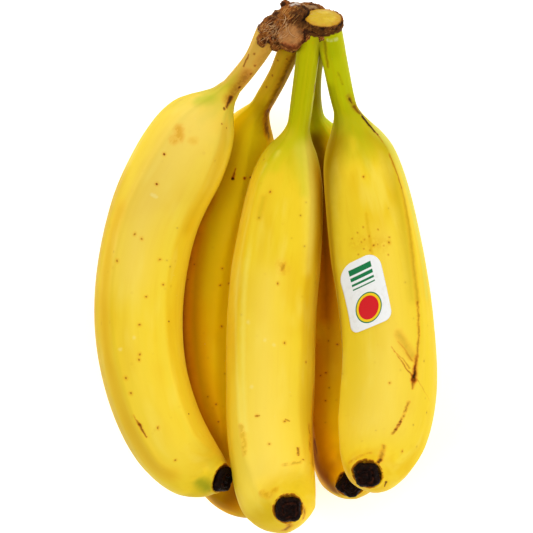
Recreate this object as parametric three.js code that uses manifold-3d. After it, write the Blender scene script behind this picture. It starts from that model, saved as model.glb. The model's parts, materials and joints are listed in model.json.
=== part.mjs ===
// A hand of five bananas, cut from its stalk and lying on the backs of its two lower fingers.
// Millimetres, +Z up. X runs across the hand, and Y from the flower ends (-Y) to the crown (+Y).
// The origin is the middle of the hand's box, on the surface that it lies on.
import * as THREE from "three";
import { mergeVertices } from "three/addons/utils/BufferGeometryUtils.js";
import Module from "manifold-3d";

const wasm = await Module();
wasm.setup();

// ---------------------------------------------------------------- driving dimensions
const SIDES = 20; // points round a finger, four to each of its five faces
const STATIONS = 32; // rings along a finger
const CROWDING = 0.07; // how much closer the rings are near a finger's ends, where it bends most
const GAP = 0.35; // room left between two pieces that grow or press together

const STALK_RADIUS = 4.7;
const STALK_FLARE = 0.6; // how much wider the stalk is where it joins the crown
const STALK_FLARE_LENGTH = 17;
const STALK_OVAL = 0.12; // how much narrower the stalk is from front to back

// How a finger widens from the end of its stalk: [distance, share of its girth].
const SHOULDER = [[0, 0], [4, 0.04], [9, 0.22], [14, 0.42], [20, 0.6], [28, 0.76], [38, 0.86],
  [50, 0.94], [65, 1]];
// How it narrows to its flower end: [distance from the end, share of its girth].
const TAPER = [[0, 0.36], [3, 0.48], [8, 0.64], [14, 0.78], [23, 0.9], [36, 0.98], [50, 1]];

// Ridge places round a finger, in degrees from the middle of its hollow side, and how flat the
// faces between them are: 0 is round, 1 a straight chord.
const RIDGES = [-45, 45, 112, 180, 248];
const FLATNESS = 0.42;

const TURN_SPAN = 17; // a ring faces along the mean run of the centreline this far either way

// The centreline of each finger from inside the crown to its flower end, the side that it is
// hollow on, its ridge radius, the length of its stalk, how long its shoulder is against SHOULDER,
// and the turn of its ridges.
const FINGERS = {
  centre: {
    girth: 18.9, stalk: 36, neck: 1, hollow: [0, 0, 1], roll: -4,
    axis: [[17, 89, 84], [15.5, 78, 77], [14, 65.5, 69.5], [12, 54, 63.5], [9, 40, 58.5],
      [5.5, 14.5, 53], [2.5, -13.5, 49.5], [1.5, -45, 49], [1.7, -68, 52], [4.6, -92, 63.5], [7.5, -94.2, 78]],
  },
  left: {
    girth: 18.3, stalk: 31, neck: 0.75, hollow: [0.97, 0, 0.26], roll: 0,
    axis: [[0.5, 91.5, 76], [-6, 81, 71], [-15.5, 68.5, 66.5], [-22, 61.5, 63.5], [-33.9, 45.3, 57.5],
      [-44.9, 20.3, 51], [-50, -14, 47.5], [-47.3, -45, 47.5], [-38.5, -68.5, 48], [-28.5, -80.5, 49],
      [-22, -83.8, 49.5], [-18.8, -84.5, 52.5]],
  },
  right: {
    girth: 19.4, stalk: 31, neck: 1, hollow: [-0.34, 0, 0.94], roll: 6,
    axis: [[24.2, 90, 84], [26.8, 79, 79], [30.5, 65, 72], [34.5, 51, 67], [39, 31, 62.5],
      [44.7, 7.5, 58.5], [48.2, -20.5, 56.5], [48.8, -45, 57], [46, -65, 61], [41.7, -78.5, 70],
      [39.5, -80.5, 78]],
  },
  back_left: {
    girth: 18.4, stalk: 31, neck: 1, hollow: [0.76, 0, 0.65], roll: 0,
    axis: [[10, 88, 69], [5, 76.5, 58.5], [-0.5, 67, 52], [-6.5, 57, 44], [-14, 28, 26.5],
      [-18.5, 5, 19.4], [-21.5, -20, 16.8], [-21.5, -54.5, 18.5], [-14.8, -83.5, 23.5], [-8, -93, 28], [-3, -97, 33]],
  },
  back_right: {
    girth: 18.4, stalk: 35.5, neck: 1, hollow: [-0.1, 0, 1], roll: 0,
    axis: [[19, 88, 72], [17.5, 77, 62.5], [17.5, 66, 53.5], [19.5, 56.5, 45], [24.5, 42, 33],
      [29, 13, 20.5], [31.5, -18, 17.3], [33, -50, 19.5], [33.5, -70, 27], [33.8, -82.5, 38.5], [33.6, -86.5, 50]],
  },
};

// The dry flower end, as a turned outline: [radius, distance from the finger's end].
const FLOWER_END = [[0, 0], [4.9, 0], [5.5, 1.2], [5.5, 3.2], [4.9, 4.6], [3.7, 5.2], [2.7, 4.5],
  [1.6, 4.6], [0, 5.4]];
const FLOWER_SIDES = 15;
const FLOWER_CORNERS = 0.05; // how far its five corners stand out, as a share of its radius

// The crown: lumps of cork grown together, and two fingers' stubs that are left on it.
const CROWN_LUMPS = {
  pad: { at: [13, 91, 77], half: [13.5, 7, 11.5] },
  torn_lobe: { at: [3.2, 93.4, 80.5], half: [6.3, 6.4, 6.5] },
  cut_side: { at: [13.5, 97.5, 80], half: [9.5, 5.3, 8.5] },
  bract_knob: { at: [7.2, 101, 80.5], half: [2.2, 2.6, 2.4] },
};
const CROWN_ROUGHNESS = 0.45;
const BROKEN_STUB = {
  at: [9.9, 88.4, 88], axis: [-0.1, 0.16, 0.98], flat: 1,
  outline: [[0, -8], [4.5, -8], [4.9, -2], [4.8, 0], [4.2, 0.6], [2.5, 1], [0, 1.2]],
};
const CUT_STUB = {
  at: [21.9, 96, 85.4], axis: [0.05, 0.77, 0.64], flat: 0.8,
  outline: [[0, -10], [5.6, -10], [6.4, -5], [7, -1.4], [6.9, 0], [6.1, 0.3], [5.2, 0.2], [3, 0.9], [0, 1.3]],
};
const STUB_SIDES = 22;

// The paper label on the right finger: its size, and where its middle lies on the skin.
const LABEL = { width: 19.5, height: 31, corner: 5, thick: 0.4, turn: 8, angle: -8, distance: 105.5 };

// ---------------------------------------------------------------- small helpers
const { lerp, degToRad: rad } = THREE.MathUtils;

// A smooth value between [x, y] points, flat beyond both ends.
function along(points, x) {
  const last = points.length - 1;
  if (x <= points[0][0]) return points[0][1];
  if (x >= points[last][0]) return points[last][1];
  const i = points.findIndex((p) => p[0] > x) - 1;
  const slope = (k) => {
    if (k <= 0 || k >= last) return 0;
    return (points[k + 1][1] - points[k - 1][1]) / (points[k + 1][0] - points[k - 1][0]);
  };
  const [x0, y0] = points[i];
  const [x1, y1] = points[i + 1];
  const w = x1 - x0;
  const t = (x - x0) / w;
  const t2 = t * t;
  const t3 = t2 * t;
  return (2 * t3 - 3 * t2 + 1) * y0 + (t3 - 2 * t2 + t) * w * slope(i)
    + (3 * t2 - 2 * t3) * y1 + (t3 - t2) * w * slope(i + 1);
}

// A closed three.js geometry as a solid that can be joined and cut.
function solidOf(geometry) {
  const bare = geometry.clone();
  bare.deleteAttribute("normal");
  bare.deleteAttribute("uv");
  const merged = mergeVertices(bare, 1e-4);
  return new wasm.Manifold(new wasm.Mesh({
    numProp: 3,
    vertProperties: new Float32Array(merged.attributes.position.array),
    triVerts: new Uint32Array(merged.index.array),
  }));
}

function geometryOf(solid) {
  const { numProp, numVert, vertProperties, triVerts } = solid.getMesh();
  const points = new Float32Array(numVert * 3);
  for (let i = 0; i < numVert; i++) {
    points.set(vertProperties.subarray(i * numProp, i * numProp + 3), i * 3);
  }
  const geometry = new THREE.BufferGeometry();
  geometry.setAttribute("position", new THREE.BufferAttribute(points, 3));
  geometry.setIndex(new THREE.BufferAttribute(triVerts, 1));
  geometry.computeVertexNormals();
  return geometry;
}

// The biggest of the bodies that a cut leaves.
function biggest(solid) {
  return solid.decompose().sort((a, b) => b.volume() - a.volume())[0];
}

// A turned outline as a closed geometry, with room added all round it.
function turned(outline, sides, room = 0) {
  const first = outline[0][1];
  const profile = outline.map(([radius, height]) => {
    return new THREE.Vector2(radius > 0 ? radius + room : 0, height === first ? height - room : height + room);
  });
  return new THREE.LatheGeometry(profile, sides);
}

// ---------------------------------------------------------------- fingers
// A finger's shape: its centreline, and the surface point at any angle and distance along it.
class Finger {
  constructor({ girth, stalk, neck, hollow, roll, axis }) {
    this.girth = girth;
    this.stalk = stalk;
    this.neck = neck;
    this.roll = roll;
    this.hollow = new THREE.Vector3(...hollow).normalize();
    this.curve = new THREE.CatmullRomCurve3(axis.map((p) => new THREE.Vector3(...p)), false, "centripetal");
    this.curve.arcLengthDivisions = 400;
    this.length = this.curve.getLength();
  }

  // How far the finger has widened from its stalk, 0 to 1.
  widening(distance) {
    return along(SHOULDER, (distance - this.stalk) / this.neck);
  }

  // The radius on the ridges at a distance along the finger.
  radius(distance) {
    const narrowing = along(TAPER, this.length - distance);
    const flare = STALK_FLARE * (1 - THREE.MathUtils.smoothstep(distance, 0, STALK_FLARE_LENGTH));
    return lerp(STALK_RADIUS, this.girth, this.widening(distance)) * narrowing + flare;
  }

  // The share of the ridge radius at an angle round the finger: less on the faces.
  section(angle, distance) {
    const turnedTo = THREE.MathUtils.euclideanModulo(angle - this.roll - RIDGES[0], 360) + RIDGES[0];
    const ends = [...RIDGES, RIDGES[0] + 360];
    const next = ends.findIndex((ridge) => ridge > turnedTo);
    const half = rad(ends[next] - ends[next - 1]) / 2;
    const off = rad(turnedTo - ends[next - 1]) - half;
    const oval = STALK_OVAL * (1 - this.widening(distance)) * Math.cos(rad(angle)) ** 2;
    return lerp(1, Math.cos(half) / Math.cos(off), FLATNESS) * (1 - oval);
  }

  // The centreline's point at a distance, which runs straight on past both ends.
  centre(distance) {
    const share = THREE.MathUtils.clamp(distance / this.length, 0, 1);
    const beyond = distance - share * this.length;
    return this.curve.getPointAt(share).addScaledVector(this.curve.getTangentAt(share), beyond);
  }

  frame(distance) {
    const centre = this.centre(distance);
    const forward = this.centre(distance + TURN_SPAN).sub(this.centre(distance - TURN_SPAN)).normalize();
    const inward = this.hollow.clone().addScaledVector(forward, -this.hollow.dot(forward)).normalize();
    const side = inward.clone().cross(forward);
    return { centre, forward, inward, side };
  }

  // The point at an angle and distance, at a share of the radius plus a height above the surface.
  point(angle, distance, share = 1, height = 0) {
    const { centre, inward, side } = this.frame(distance);
    const reach = share * (this.radius(distance) * this.section(angle, distance) + height);
    return centre
      .addScaledVector(inward, Math.cos(rad(angle)) * reach)
      .addScaledVector(side, Math.sin(rad(angle)) * reach);
  }

  // Angles of the points round a ring: each face is divided alike, so that every ridge has one.
  angles() {
    const perFace = SIDES / RIDGES.length;
    const ends = [...RIDGES, RIDGES[0] + 360];
    return RIDGES.flatMap((ridge, i) => {
      return Array.from({ length: perFace }, (_, k) => lerp(ridge, ends[i + 1], k / perFace) + this.roll);
    });
  }

  // The finger as a closed tube, made from a cylinder whose points are moved to its surface.
  solid(room = 0) {
    const tube = new THREE.CylinderGeometry(1, 1, 1, SIDES, STATIONS);
    const angles = this.angles();
    const points = tube.attributes.position;
    for (let i = 0; i < points.count; i++) {
      const [x, y, z] = [points.getX(i), points.getY(i), points.getZ(i)];
      const place = Math.round((Math.atan2(x, z) / (2 * Math.PI) + 1) * SIDES) % SIDES;
      const share = Math.min(1, Math.hypot(x, z));
      const run = 0.5 - y - CROWDING * Math.sin(2 * Math.PI * (0.5 - y));
      const p = this.point(angles[place], run * this.length, share, room);
      points.setXYZ(i, p.x, p.y, p.z);
    }
    return solidOf(tube);
  }

  // The dry remains of the flower, seated on the finger's end.
  flowerEnd() {
    const { centre, forward, inward, side } = this.frame(this.length);
    const end = turned(FLOWER_END, FLOWER_SIDES);
    const points = end.attributes.position;
    for (let i = 0; i < points.count; i++) {
      const turn = Math.atan2(points.getX(i), points.getZ(i));
      const share = 1 + FLOWER_CORNERS * Math.cos(RIDGES.length * turn);
      points.setXYZ(i, points.getX(i) * share, points.getY(i), points.getZ(i) * share);
    }
    const place = new THREE.Matrix4().makeBasis(side, forward, inward.negate());
    place.setPosition(centre.addScaledVector(forward, GAP));
    return solidOf(end.applyMatrix4(place));
  }
}

// ---------------------------------------------------------------- crown
// The height of the cork's lumps at a point.
function corkHeight({ x, y, z }) {
  const wave = Math.sin(0.9 * x + 0.7 * z) * Math.cos(0.8 * y - 0.5 * x) + Math.sin(1.3 * z + 0.6 * y);
  return CROWN_ROUGHNESS * wave / 2;
}

function lump({ at, half }, room) {
  const ball = new THREE.SphereGeometry(1, 18, 12);
  const points = ball.attributes.position;
  const centre = new THREE.Vector3(...at);
  const direction = new THREE.Vector3();
  const p = new THREE.Vector3();
  for (let i = 0; i < points.count; i++) {
    direction.fromBufferAttribute(points, i);
    p.copy(direction).multiply(new THREE.Vector3(...half)).add(centre);
    p.addScaledVector(direction, corkHeight(p) + room);
    points.setXYZ(i, p.x, p.y, p.z);
  }
  return solidOf(ball);
}

function stub({ at, axis, flat, outline }, room) {
  const geometry = turned(outline, STUB_SIDES, room);
  geometry.scale(1, 1, flat);
  const up = new THREE.Vector3(...axis).normalize();
  geometry.applyQuaternion(new THREE.Quaternion().setFromUnitVectors(new THREE.Vector3(0, 1, 0), up));
  geometry.translate(...at);
  return solidOf(geometry);
}

function crown(room = 0) {
  const lumps = Object.values(CROWN_LUMPS).map((facts) => lump(facts, room));
  const stubs = [BROKEN_STUB, CUT_STUB].map((facts) => stub(facts, room));
  return biggest([...lumps, ...stubs].reduce((joined, piece) => joined.add(piece)));
}

// ---------------------------------------------------------------- label
// A rounded rectangle of paper, bent round the finger a gap above its skin.
function label(finger) {
  const { width, height, corner, thick, turn, angle, distance } = LABEL;
  const sheet = new THREE.BoxGeometry(width, height, thick, 8, 12, 1);
  const points = sheet.attributes.position;
  for (let i = 0; i < points.count; i++) {
    const flat = new THREE.Vector2(points.getX(i), points.getY(i));
    const inner = new THREE.Vector2(
      THREE.MathUtils.clamp(flat.x, corner - width / 2, width / 2 - corner),
      THREE.MathUtils.clamp(flat.y, corner - height / 2, height / 2 - corner),
    );
    flat.sub(inner).clampLength(0, corner).add(inner).rotateAround(new THREE.Vector2(), rad(turn));
    const round = THREE.MathUtils.radToDeg(flat.x / finger.radius(distance));
    const above = GAP + thick / 2 + points.getZ(i);
    const p = finger.point(angle + round, distance - flat.y, 1, above);
    points.setXYZ(i, p.x, p.y, p.z);
  }
  return solidOf(sheet);
}

// ---------------------------------------------------------------- assembly
const skin = new THREE.MeshStandardMaterial({ name: "peel", color: "#e9c61c", roughness: 0.45, metalness: 0 });
const dry = new THREE.MeshStandardMaterial({ name: "dry_flower", color: "#1e1512", roughness: 0.8, metalness: 0 });
const cork = new THREE.MeshStandardMaterial({ name: "crown_cork", color: "#7a4a24", roughness: 0.9, metalness: 0 });
const paper = new THREE.MeshStandardMaterial({ name: "label_paper", color: "#f2f2ee", roughness: 0.4, metalness: 0 });

const bunch = new THREE.Group();
bunch.name = "banana_hand";

function addPiece(name, solid, material) {
  const mesh = new THREE.Mesh(geometryOf(solid), material);
  mesh.name = name;
  bunch.add(mesh);
}

// The surface that the hand lies on, which presses the lower fingers' backs flat.
const ground = solidOf(new THREE.BoxGeometry(400, 400, 100).translate(0, 0, -50));

const shapes = Object.fromEntries(Object.entries(FINGERS).map(([name, facts]) => [name, new Finger(facts)]));
let taken = crown(GAP).add(ground); // the room that the pieces made so far fill
for (const [name, finger] of Object.entries(shapes)) {
  addPiece(`banana_${name}`, biggest(finger.solid().subtract(taken)), skin);
  addPiece(`flower_end_${name}`, biggest(finger.flowerEnd().subtract(taken)), dry);
  taken = taken.add(finger.solid(GAP));
}
addPiece("crown", crown(), cork);
addPiece("label", label(shapes.right), paper);

const box = new THREE.Box3().setFromObject(bunch);
const middle = box.getCenter(new THREE.Vector3());
bunch.position.set(-middle.x, -middle.y, 0);

export default bunch;
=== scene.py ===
"""A hand of five bananas lying on the backs of its two lower fingers.

Each finger is a skin wrapped round its centreline, with soft ridges, a neck and a dried flower
end. A corky crown joins the stalks, and a paper label lies on one finger. Shapes are worked out
in millimetres in the hand's design frame, and placed in metres.
"""
import json
import logging
import math
from bisect import bisect_right
from dataclasses import dataclass, field
from enum import Enum
from itertools import accumulate
from random import Random
from typing import Any, Callable, Sequence

import bmesh
import bpy
from mathutils import Matrix, Vector, noise
from mathutils.bvhtree import BVHTree

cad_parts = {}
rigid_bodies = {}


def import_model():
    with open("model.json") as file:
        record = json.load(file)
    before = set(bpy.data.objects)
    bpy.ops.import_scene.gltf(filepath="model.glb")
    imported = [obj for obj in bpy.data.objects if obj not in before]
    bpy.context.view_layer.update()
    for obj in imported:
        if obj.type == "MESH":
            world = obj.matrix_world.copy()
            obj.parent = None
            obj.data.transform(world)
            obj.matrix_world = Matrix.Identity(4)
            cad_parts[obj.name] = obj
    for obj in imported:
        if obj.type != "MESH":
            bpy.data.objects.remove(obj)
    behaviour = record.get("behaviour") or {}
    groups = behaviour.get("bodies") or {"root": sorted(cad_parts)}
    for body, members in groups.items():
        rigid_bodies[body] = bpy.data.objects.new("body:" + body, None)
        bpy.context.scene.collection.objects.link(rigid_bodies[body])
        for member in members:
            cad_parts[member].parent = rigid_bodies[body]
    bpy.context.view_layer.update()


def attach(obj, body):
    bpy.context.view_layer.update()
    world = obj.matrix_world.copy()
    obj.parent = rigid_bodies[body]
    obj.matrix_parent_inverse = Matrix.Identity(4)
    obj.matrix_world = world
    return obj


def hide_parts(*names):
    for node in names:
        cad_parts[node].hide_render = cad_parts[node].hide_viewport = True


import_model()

LOG = logging.getLogger("banana_hand")

MM = 0.001
GAP = 0.35  # room between pieces that press together
DESIGN_SHIFT = Vector((-0.25, 0.58, 0.0))  # the design frame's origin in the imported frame

Point = tuple[float, float, float]
Socket = bpy.types.NodeSocket


class Slot(Enum):
    """The record's material slots."""

    PEEL = "peel"
    FLOWER = "dry_flower"
    CORK = "crown_cork"
    PAPER = "label_paper"


# ------------------------------------------------------------------ numbers and colours
def lerp(low: float, high: float, share: float) -> float:
    """Returns the number a share of the way from low to high."""
    return low + (high - low) * share


def smoothstep(value: float, low: float, high: float) -> float:
    """Returns 0 at low and 1 at high, with a smooth run between."""
    share = min(1.0, max(0.0, (value - low) / (high - low)))
    return share * share * (3 - 2 * share)


def along_points(points: Sequence[tuple[float, float]], x: float) -> float:
    """Reads a smooth value between (x, y) points, flat beyond both ends.

    Args:
        points: The known values, in rising order of x.
        x: Where to read.

    Returns:
        The value at x.
    """
    last = len(points) - 1
    if x <= points[0][0]:
        return points[0][1]
    if x >= points[last][0]:
        return points[last][1]

    def slope(k: int) -> float:
        """Returns the slope at a point, flat at both ends.

        Args:
            k: Which point.

        Returns:
            The slope there.
        """
        if k in (0, last):
            return 0.0
        return (points[k + 1][1] - points[k - 1][1]) / (points[k + 1][0] - points[k - 1][0])

    i = bisect_right([p[0] for p in points], x) - 1
    (x0, y0), (x1, y1) = points[i], points[i + 1]
    width = x1 - x0
    t = (x - x0) / width
    leaving = t * (1 - t) * (1 - t) * width * slope(i)
    arriving = t * t * (t - 1) * width * slope(i + 1)
    return lerp(y0, y1, t * t * (3 - 2 * t)) + leaving + arriving


def linear(hex_colour: str) -> tuple[float, float, float, float]:
    """Turns an sRGB hex colour into linear RGBA.

    Args:
        hex_colour: Six hex digits after a hash sign.

    Returns:
        The linear colour with alpha 1.
    """
    parts = [int(hex_colour[i:i + 2], 16) / 255 for i in (1, 3, 5)]
    red, green, blue = (c / 12.92 if c <= 0.04045 else ((c + 0.055) / 1.055) ** 2.4 for c in parts)
    return (red, green, blue, 1.0)


# ------------------------------------------------------------------ mesh helpers
def wrap(mesh: bmesh.types.BMesh, sides: int, stations: int, place: Callable[[int, int], Vector],
         tags: dict[str, Callable[[int, int], Vector]]) -> None:
    """Wraps a grid into a closed skin: its columns run round, and its rows run along.

    Args:
        mesh: The mesh that gets the skin.
        sides: Points round the skin.
        stations: Rows along it; the first and last close to a point.
        place: Gives the point of a side and a station.
        tags: Gives the value there of each vector attribute, by its name.
    """
    layers = {name: mesh.verts.layers.float_vector.new(name) for name in tags}
    bmesh.ops.create_grid(mesh, x_segments=sides, y_segments=stations - 1, size=1)
    for vert in mesh.verts:
        side = round((vert.co.x + 1) / 2 * sides) % sides
        station = round((vert.co.y + 1) / 2 * (stations - 1))
        vert.co = place(side, station)
        for name, layer in layers.items():
            vert[layer] = tags[name](side, station)
    bmesh.ops.remove_doubles(mesh, verts=mesh.verts, dist=1e-5)
    bmesh.ops.dissolve_degenerate(mesh, edges=mesh.edges, dist=1e-6)
    bmesh.ops.recalc_face_normals(mesh, faces=mesh.faces)


def turned(outline: Sequence[tuple[float, float]], sides: int) -> bmesh.types.BMesh:
    """Spins an outline round Z into a closed body.

    Args:
        outline: (radius, height) points, from the bottom of the axis to its top.
        sides: Faces round the body.

    Returns:
        The body.
    """
    mesh = bmesh.new()
    verts = [mesh.verts.new((radius, 0, height)) for radius, height in outline]
    edges = [mesh.edges.new(pair) for pair in zip(verts, verts[1:])]
    bmesh.ops.spin(mesh, geom=verts + edges, axis=(0, 0, 1), cent=(0, 0, 0), angle=2 * math.pi,
                   steps=sides, use_merge=True)
    bmesh.ops.remove_doubles(mesh, verts=mesh.verts, dist=1e-5)
    bmesh.ops.dissolve_degenerate(mesh, edges=mesh.edges, dist=1e-6)
    bmesh.ops.recalc_face_normals(mesh, faces=mesh.faces)
    return mesh


def linked(name: str, data: bpy.types.ID) -> bpy.types.Object:
    """Returns a new object that shows some data in the scene, at the origin.

    Args:
        name: The object's name.
        data: Its mesh, curve, light or camera.

    Returns:
        The object.
    """
    holder = bpy.data.objects.new(name, data)
    bpy.context.scene.collection.objects.link(holder)
    return holder


def mesh_data(name: str, mesh: bmesh.types.BMesh) -> bpy.types.Mesh:
    """Turns a mesh under construction into mesh data, and frees it.

    Args:
        name: The data's name.
        mesh: The mesh under construction.

    Returns:
        The mesh data.
    """
    data = bpy.data.meshes.new(name)
    mesh.to_mesh(data)
    mesh.free()
    return data


def evaluated_mesh(holder: bpy.types.Object) -> bmesh.types.BMesh:
    """Returns the mesh that an object's modifiers or curves make, and removes the object.

    Args:
        holder: The object, which goes with its data.

    Returns:
        The mesh, ready to work on.
    """
    source = holder.data
    shape = bpy.data.meshes.new_from_object(holder.evaluated_get(bpy.context.evaluated_depsgraph_get()))
    mesh = bmesh.new()
    mesh.from_mesh(shape)
    bpy.data.batch_remove((holder, source, shape))
    return mesh


def finished(name: str, mesh: bmesh.types.BMesh, material: bpy.types.Material, slot: Slot,
             replaces: Sequence[str] = ()) -> bpy.types.Object:
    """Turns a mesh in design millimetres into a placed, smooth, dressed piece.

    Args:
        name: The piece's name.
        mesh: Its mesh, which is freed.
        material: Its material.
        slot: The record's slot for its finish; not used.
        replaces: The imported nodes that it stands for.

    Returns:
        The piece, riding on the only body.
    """
    mesh.transform(Matrix.Scale(MM, 4) @ Matrix.Translation(DESIGN_SHIFT))
    for face in mesh.faces:
        face.smooth = True
    data = mesh_data(name, mesh)
    data.materials.append(material)
    piece = linked(name, data)
    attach(piece, "root")
    if replaces:
        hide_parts(*replaces)
    LOG.info("%s: %d faces", name, len(data.polygons))
    return piece


# ------------------------------------------------------------------ material helpers
@dataclass(frozen=True)
class Mark:
    """A stain, scar, speck, painted highlight or painted shade: a stroke through its places, or a dot at
    each of them.
    """

    places: tuple[tuple[float, ...], ...]
    width: float  # millimetres across
    colour: str
    strength: float = 0.9
    blur: float = 0.5  # millimetres that its edge fades over
    joined: bool = True
    depth: float = 0.0  # millimetres that it is sunk
    taper: float = 0.0  # how much narrower a stroke is at its last place
    broken: float = 0.0  # how much of its strength comes and goes
    plain: bool = False  # a tint with an even edge, where a stain's edge is warm


class Paint:
    """A material that is built up coat by coat."""

    def __init__(self, name: str, base: str) -> None:
        """Starts a material from a base colour.

        Args:
            name: The material's name.
            base: Its sRGB hex colour.
        """
        self.material = bpy.data.materials.new(name)
        self.material.use_nodes = True
        self.tree = self.material.node_tree
        self.tree.nodes.clear()
        self.base = linear(base)
        self.colour: Socket | None = None
        self.height: Socket | None = None

    def node(self, kind: str, *inputs: Any, output: str | None = None, **settings: Any) -> Socket | None:
        """Adds a node with its settings and links.

        Args:
            kind: The node's type, after "ShaderNode".
            inputs: A value or a socket for each input in use, in their order.
            output: The identifier of the output that is wanted, or None for the first one in use.
            settings: Values by property name, and values or sockets by the identifier of an input.

        Returns:
            The output, or None if the node has none.
        """
        made = self.tree.nodes.new(f"ShaderNode{kind}")
        for name, value in settings.items():
            if hasattr(made, name):
                setattr(made, name, value)
        sockets = {socket.identifier: socket for socket in made.inputs}
        sources = dict(zip((socket.identifier for socket in made.inputs if socket.enabled), inputs))
        sources |= {name: value for name, value in settings.items() if name in sockets}
        for name, source in sources.items():
            if isinstance(source, Socket):
                self.tree.links.new(source, sockets[name])
            else:
                sockets[name].default_value = source
        wanted = (s for s in made.outputs if (s.enabled if output is None else s.identifier == output))
        return next(wanted, None)

    def part(self, vector: Socket, axis: str) -> Socket:
        """Returns one part of a vector, in millimetres."""
        metres = self.node("SeparateXYZ", vector, output=axis)
        return self.node("Math", metres, 1 / MM, operation="MULTIPLY")

    def ramp(self, value: Socket, low: float, high: float, start: float = 0.0, end: float = 1.0,
             within: Socket | None = None) -> Socket:
        """Maps a value smoothly from the range low to high onto start to end.

        Args:
            value: The value to map.
            low: The value that gives start.
            high: The value that gives end.
            start: The result at low.
            end: The result at high.
            within: A mask that the result is multiplied by.

        Returns:
            The mapped value.
        """
        mapped = self.node("MapRange", value, low, high, start, end, output="Result",
                           interpolation_type="SMOOTHSTEP", clamp=False)
        return mapped if within is None else self.node("Math", within, mapped, operation="MULTIPLY")

    def grain(self, vector: Socket, size: float, stretch: Point = (1.0, 1.0, 1.0), detail: float = 2.0,
              output: str = "Fac") -> Socket:
        """Makes noise of a real grain size.

        Args:
            vector: Coordinates in metres.
            size: The grain's size in millimetres.
            stretch: How often the grain repeats along each axis; less than 1 draws it out.
            detail: How many finer octaves it has.
            output: "Fac" for a number, "Color" for three.

        Returns:
            The noise, about 0.5.
        """
        scaled = self.node("VectorMath", vector, stretch, operation="MULTIPLY")
        return self.node("TexNoise", output=output, Vector=scaled, Scale=1 / (size * MM), Detail=detail,
                         Roughness=0.55)

    def specks(self, vector: Socket, spacing: float, radius: float) -> Socket:
        """Scatters round specks of different strengths.

        Args:
            vector: Coordinates in metres.
            spacing: Millimetres from speck to speck, in space.
            radius: A speck's radius in millimetres.

        Returns:
            The specks' mask.
        """
        cells = self.node("TexVoronoi", output="Distance", feature="F1", Vector=vector,
                          Scale=1 / (spacing * MM))
        round_specks = self.ramp(cells, radius / spacing, 0.4 * radius / spacing)
        strengths = self.node("SeparateXYZ", cells.node.outputs["Color"], output="X")
        return self.ramp(strengths, 0.1, 0.9, 0.15, 1.0, within=round_specks)

    def away(self, vector: Socket, places: Sequence[Vector], joined: bool, narrowing: float) -> Socket:
        """Measures how far a point is from places, or from the stroke through them.

        Args:
            vector: The point, in metres.
            places: Points in metres.
            joined: Whether a stroke runs through the places.
            narrowing: How much is added along the stroke, up to its last place, in metres.

        Returns:
            The distance in metres.
        """
        if not joined or len(places) == 1:
            distances = [self.node("VectorMath", vector, tuple(place), operation="DISTANCE")
                         for place in places]
        else:
            distances = []
            step = narrowing / (len(places) - 1)
            for k, (start, end) in enumerate(zip(places, places[1:])):
                run = end - start
                offset = self.node("VectorMath", vector, tuple(start), operation="SUBTRACT")
                way = tuple(run / run.length_squared)
                share = self.node("VectorMath", offset, way, operation="DOT_PRODUCT")
                share = self.node("Clamp", share)
                nearest = self.node("VectorMath", tuple(run), share, operation="SCALE")
                distance = self.node("VectorMath", offset, nearest, operation="DISTANCE")
                if narrowing:
                    passed = self.node("Math", share, k, operation="ADD")
                    thinner = self.node("Math", passed, step, operation="MULTIPLY")
                    distance = self.node("Math", distance, thinner, operation="ADD")
                distances.append(distance)
        nearest_of_all = distances[0]
        for distance in distances[1:]:
            nearest_of_all = self.node("Math", nearest_of_all, distance, operation="MINIMUM")
        return nearest_of_all

    def coat(self, colour: str, mask: Socket, strength: float = 1.0) -> None:
        """Lays a colour over the coats so far, where the mask is high.

        Args:
            colour: An sRGB hex colour.
            mask: 1 where it covers, 0 where it does not.
            strength: How well it covers.
        """
        share = self.node("Math", mask, strength, operation="MULTIPLY")
        under = self.base if self.colour is None else self.colour
        self.colour = self.node("Mix", output="Result_Color", data_type="RGBA", Factor_Float=share,
                                A_Color=under, B_Color=linear(colour))

    def stain(self, colour: str, mask: Socket, strength: float = 1.0) -> None:
        """Lays a stain over the coats so far; its edge is warm, since red goes last as skin browns.

        Args:
            colour: An sRGB hex colour.
            mask: 1 where it covers, 0 where it does not.
            strength: How well it covers.
        """
        even = self.node("Math", mask, strength, operation="MULTIPLY")
        warm = self.node("Math", even, mask, operation="MULTIPLY")
        under = self.base[:3] if self.colour is None else self.colour
        shares = self.node("CombineXYZ", warm, even, even)
        self.colour = self.node("Mix", output="Result_Vector", data_type="VECTOR",
                                factor_mode="NON_UNIFORM", Factor_Vector=shares, A_Vector=under,
                                B_Vector=linear(colour)[:3])

    def raise_by(self, pattern: Socket, height: float) -> None:
        """Adds a pattern of a real height, in millimetres, to the relief."""
        part = self.node("Math", pattern, height * MM, operation="MULTIPLY")
        self.height = part if self.height is None else self.node("Math", self.height, part, operation="ADD")

    def marks(self, vector: Socket, marks: Sequence[Mark], placed: Callable[[tuple[float, ...]], Vector],
              ragged: Socket, raggedness: float) -> None:
        """Lays marks with slightly ragged edges over the coats so far.

        Args:
            vector: The point, in metres.
            marks: The marks.
            placed: Turns one of a mark's places into a point in metres.
            ragged: Noise in three channels.
            raggedness: How far the noise moves an edge either way, in millimetres.
        """
        span, middle = (2 * raggedness * MM,) * 3, (raggedness * MM,) * 3
        shifted = self.node("VectorMath", ragged, span, vector, operation="MULTIPLY_ADD")
        shifted = self.node("VectorMath", shifted, middle, operation="SUBTRACT")
        for mark in marks:
            self.mark(shifted, mark, placed)

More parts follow.
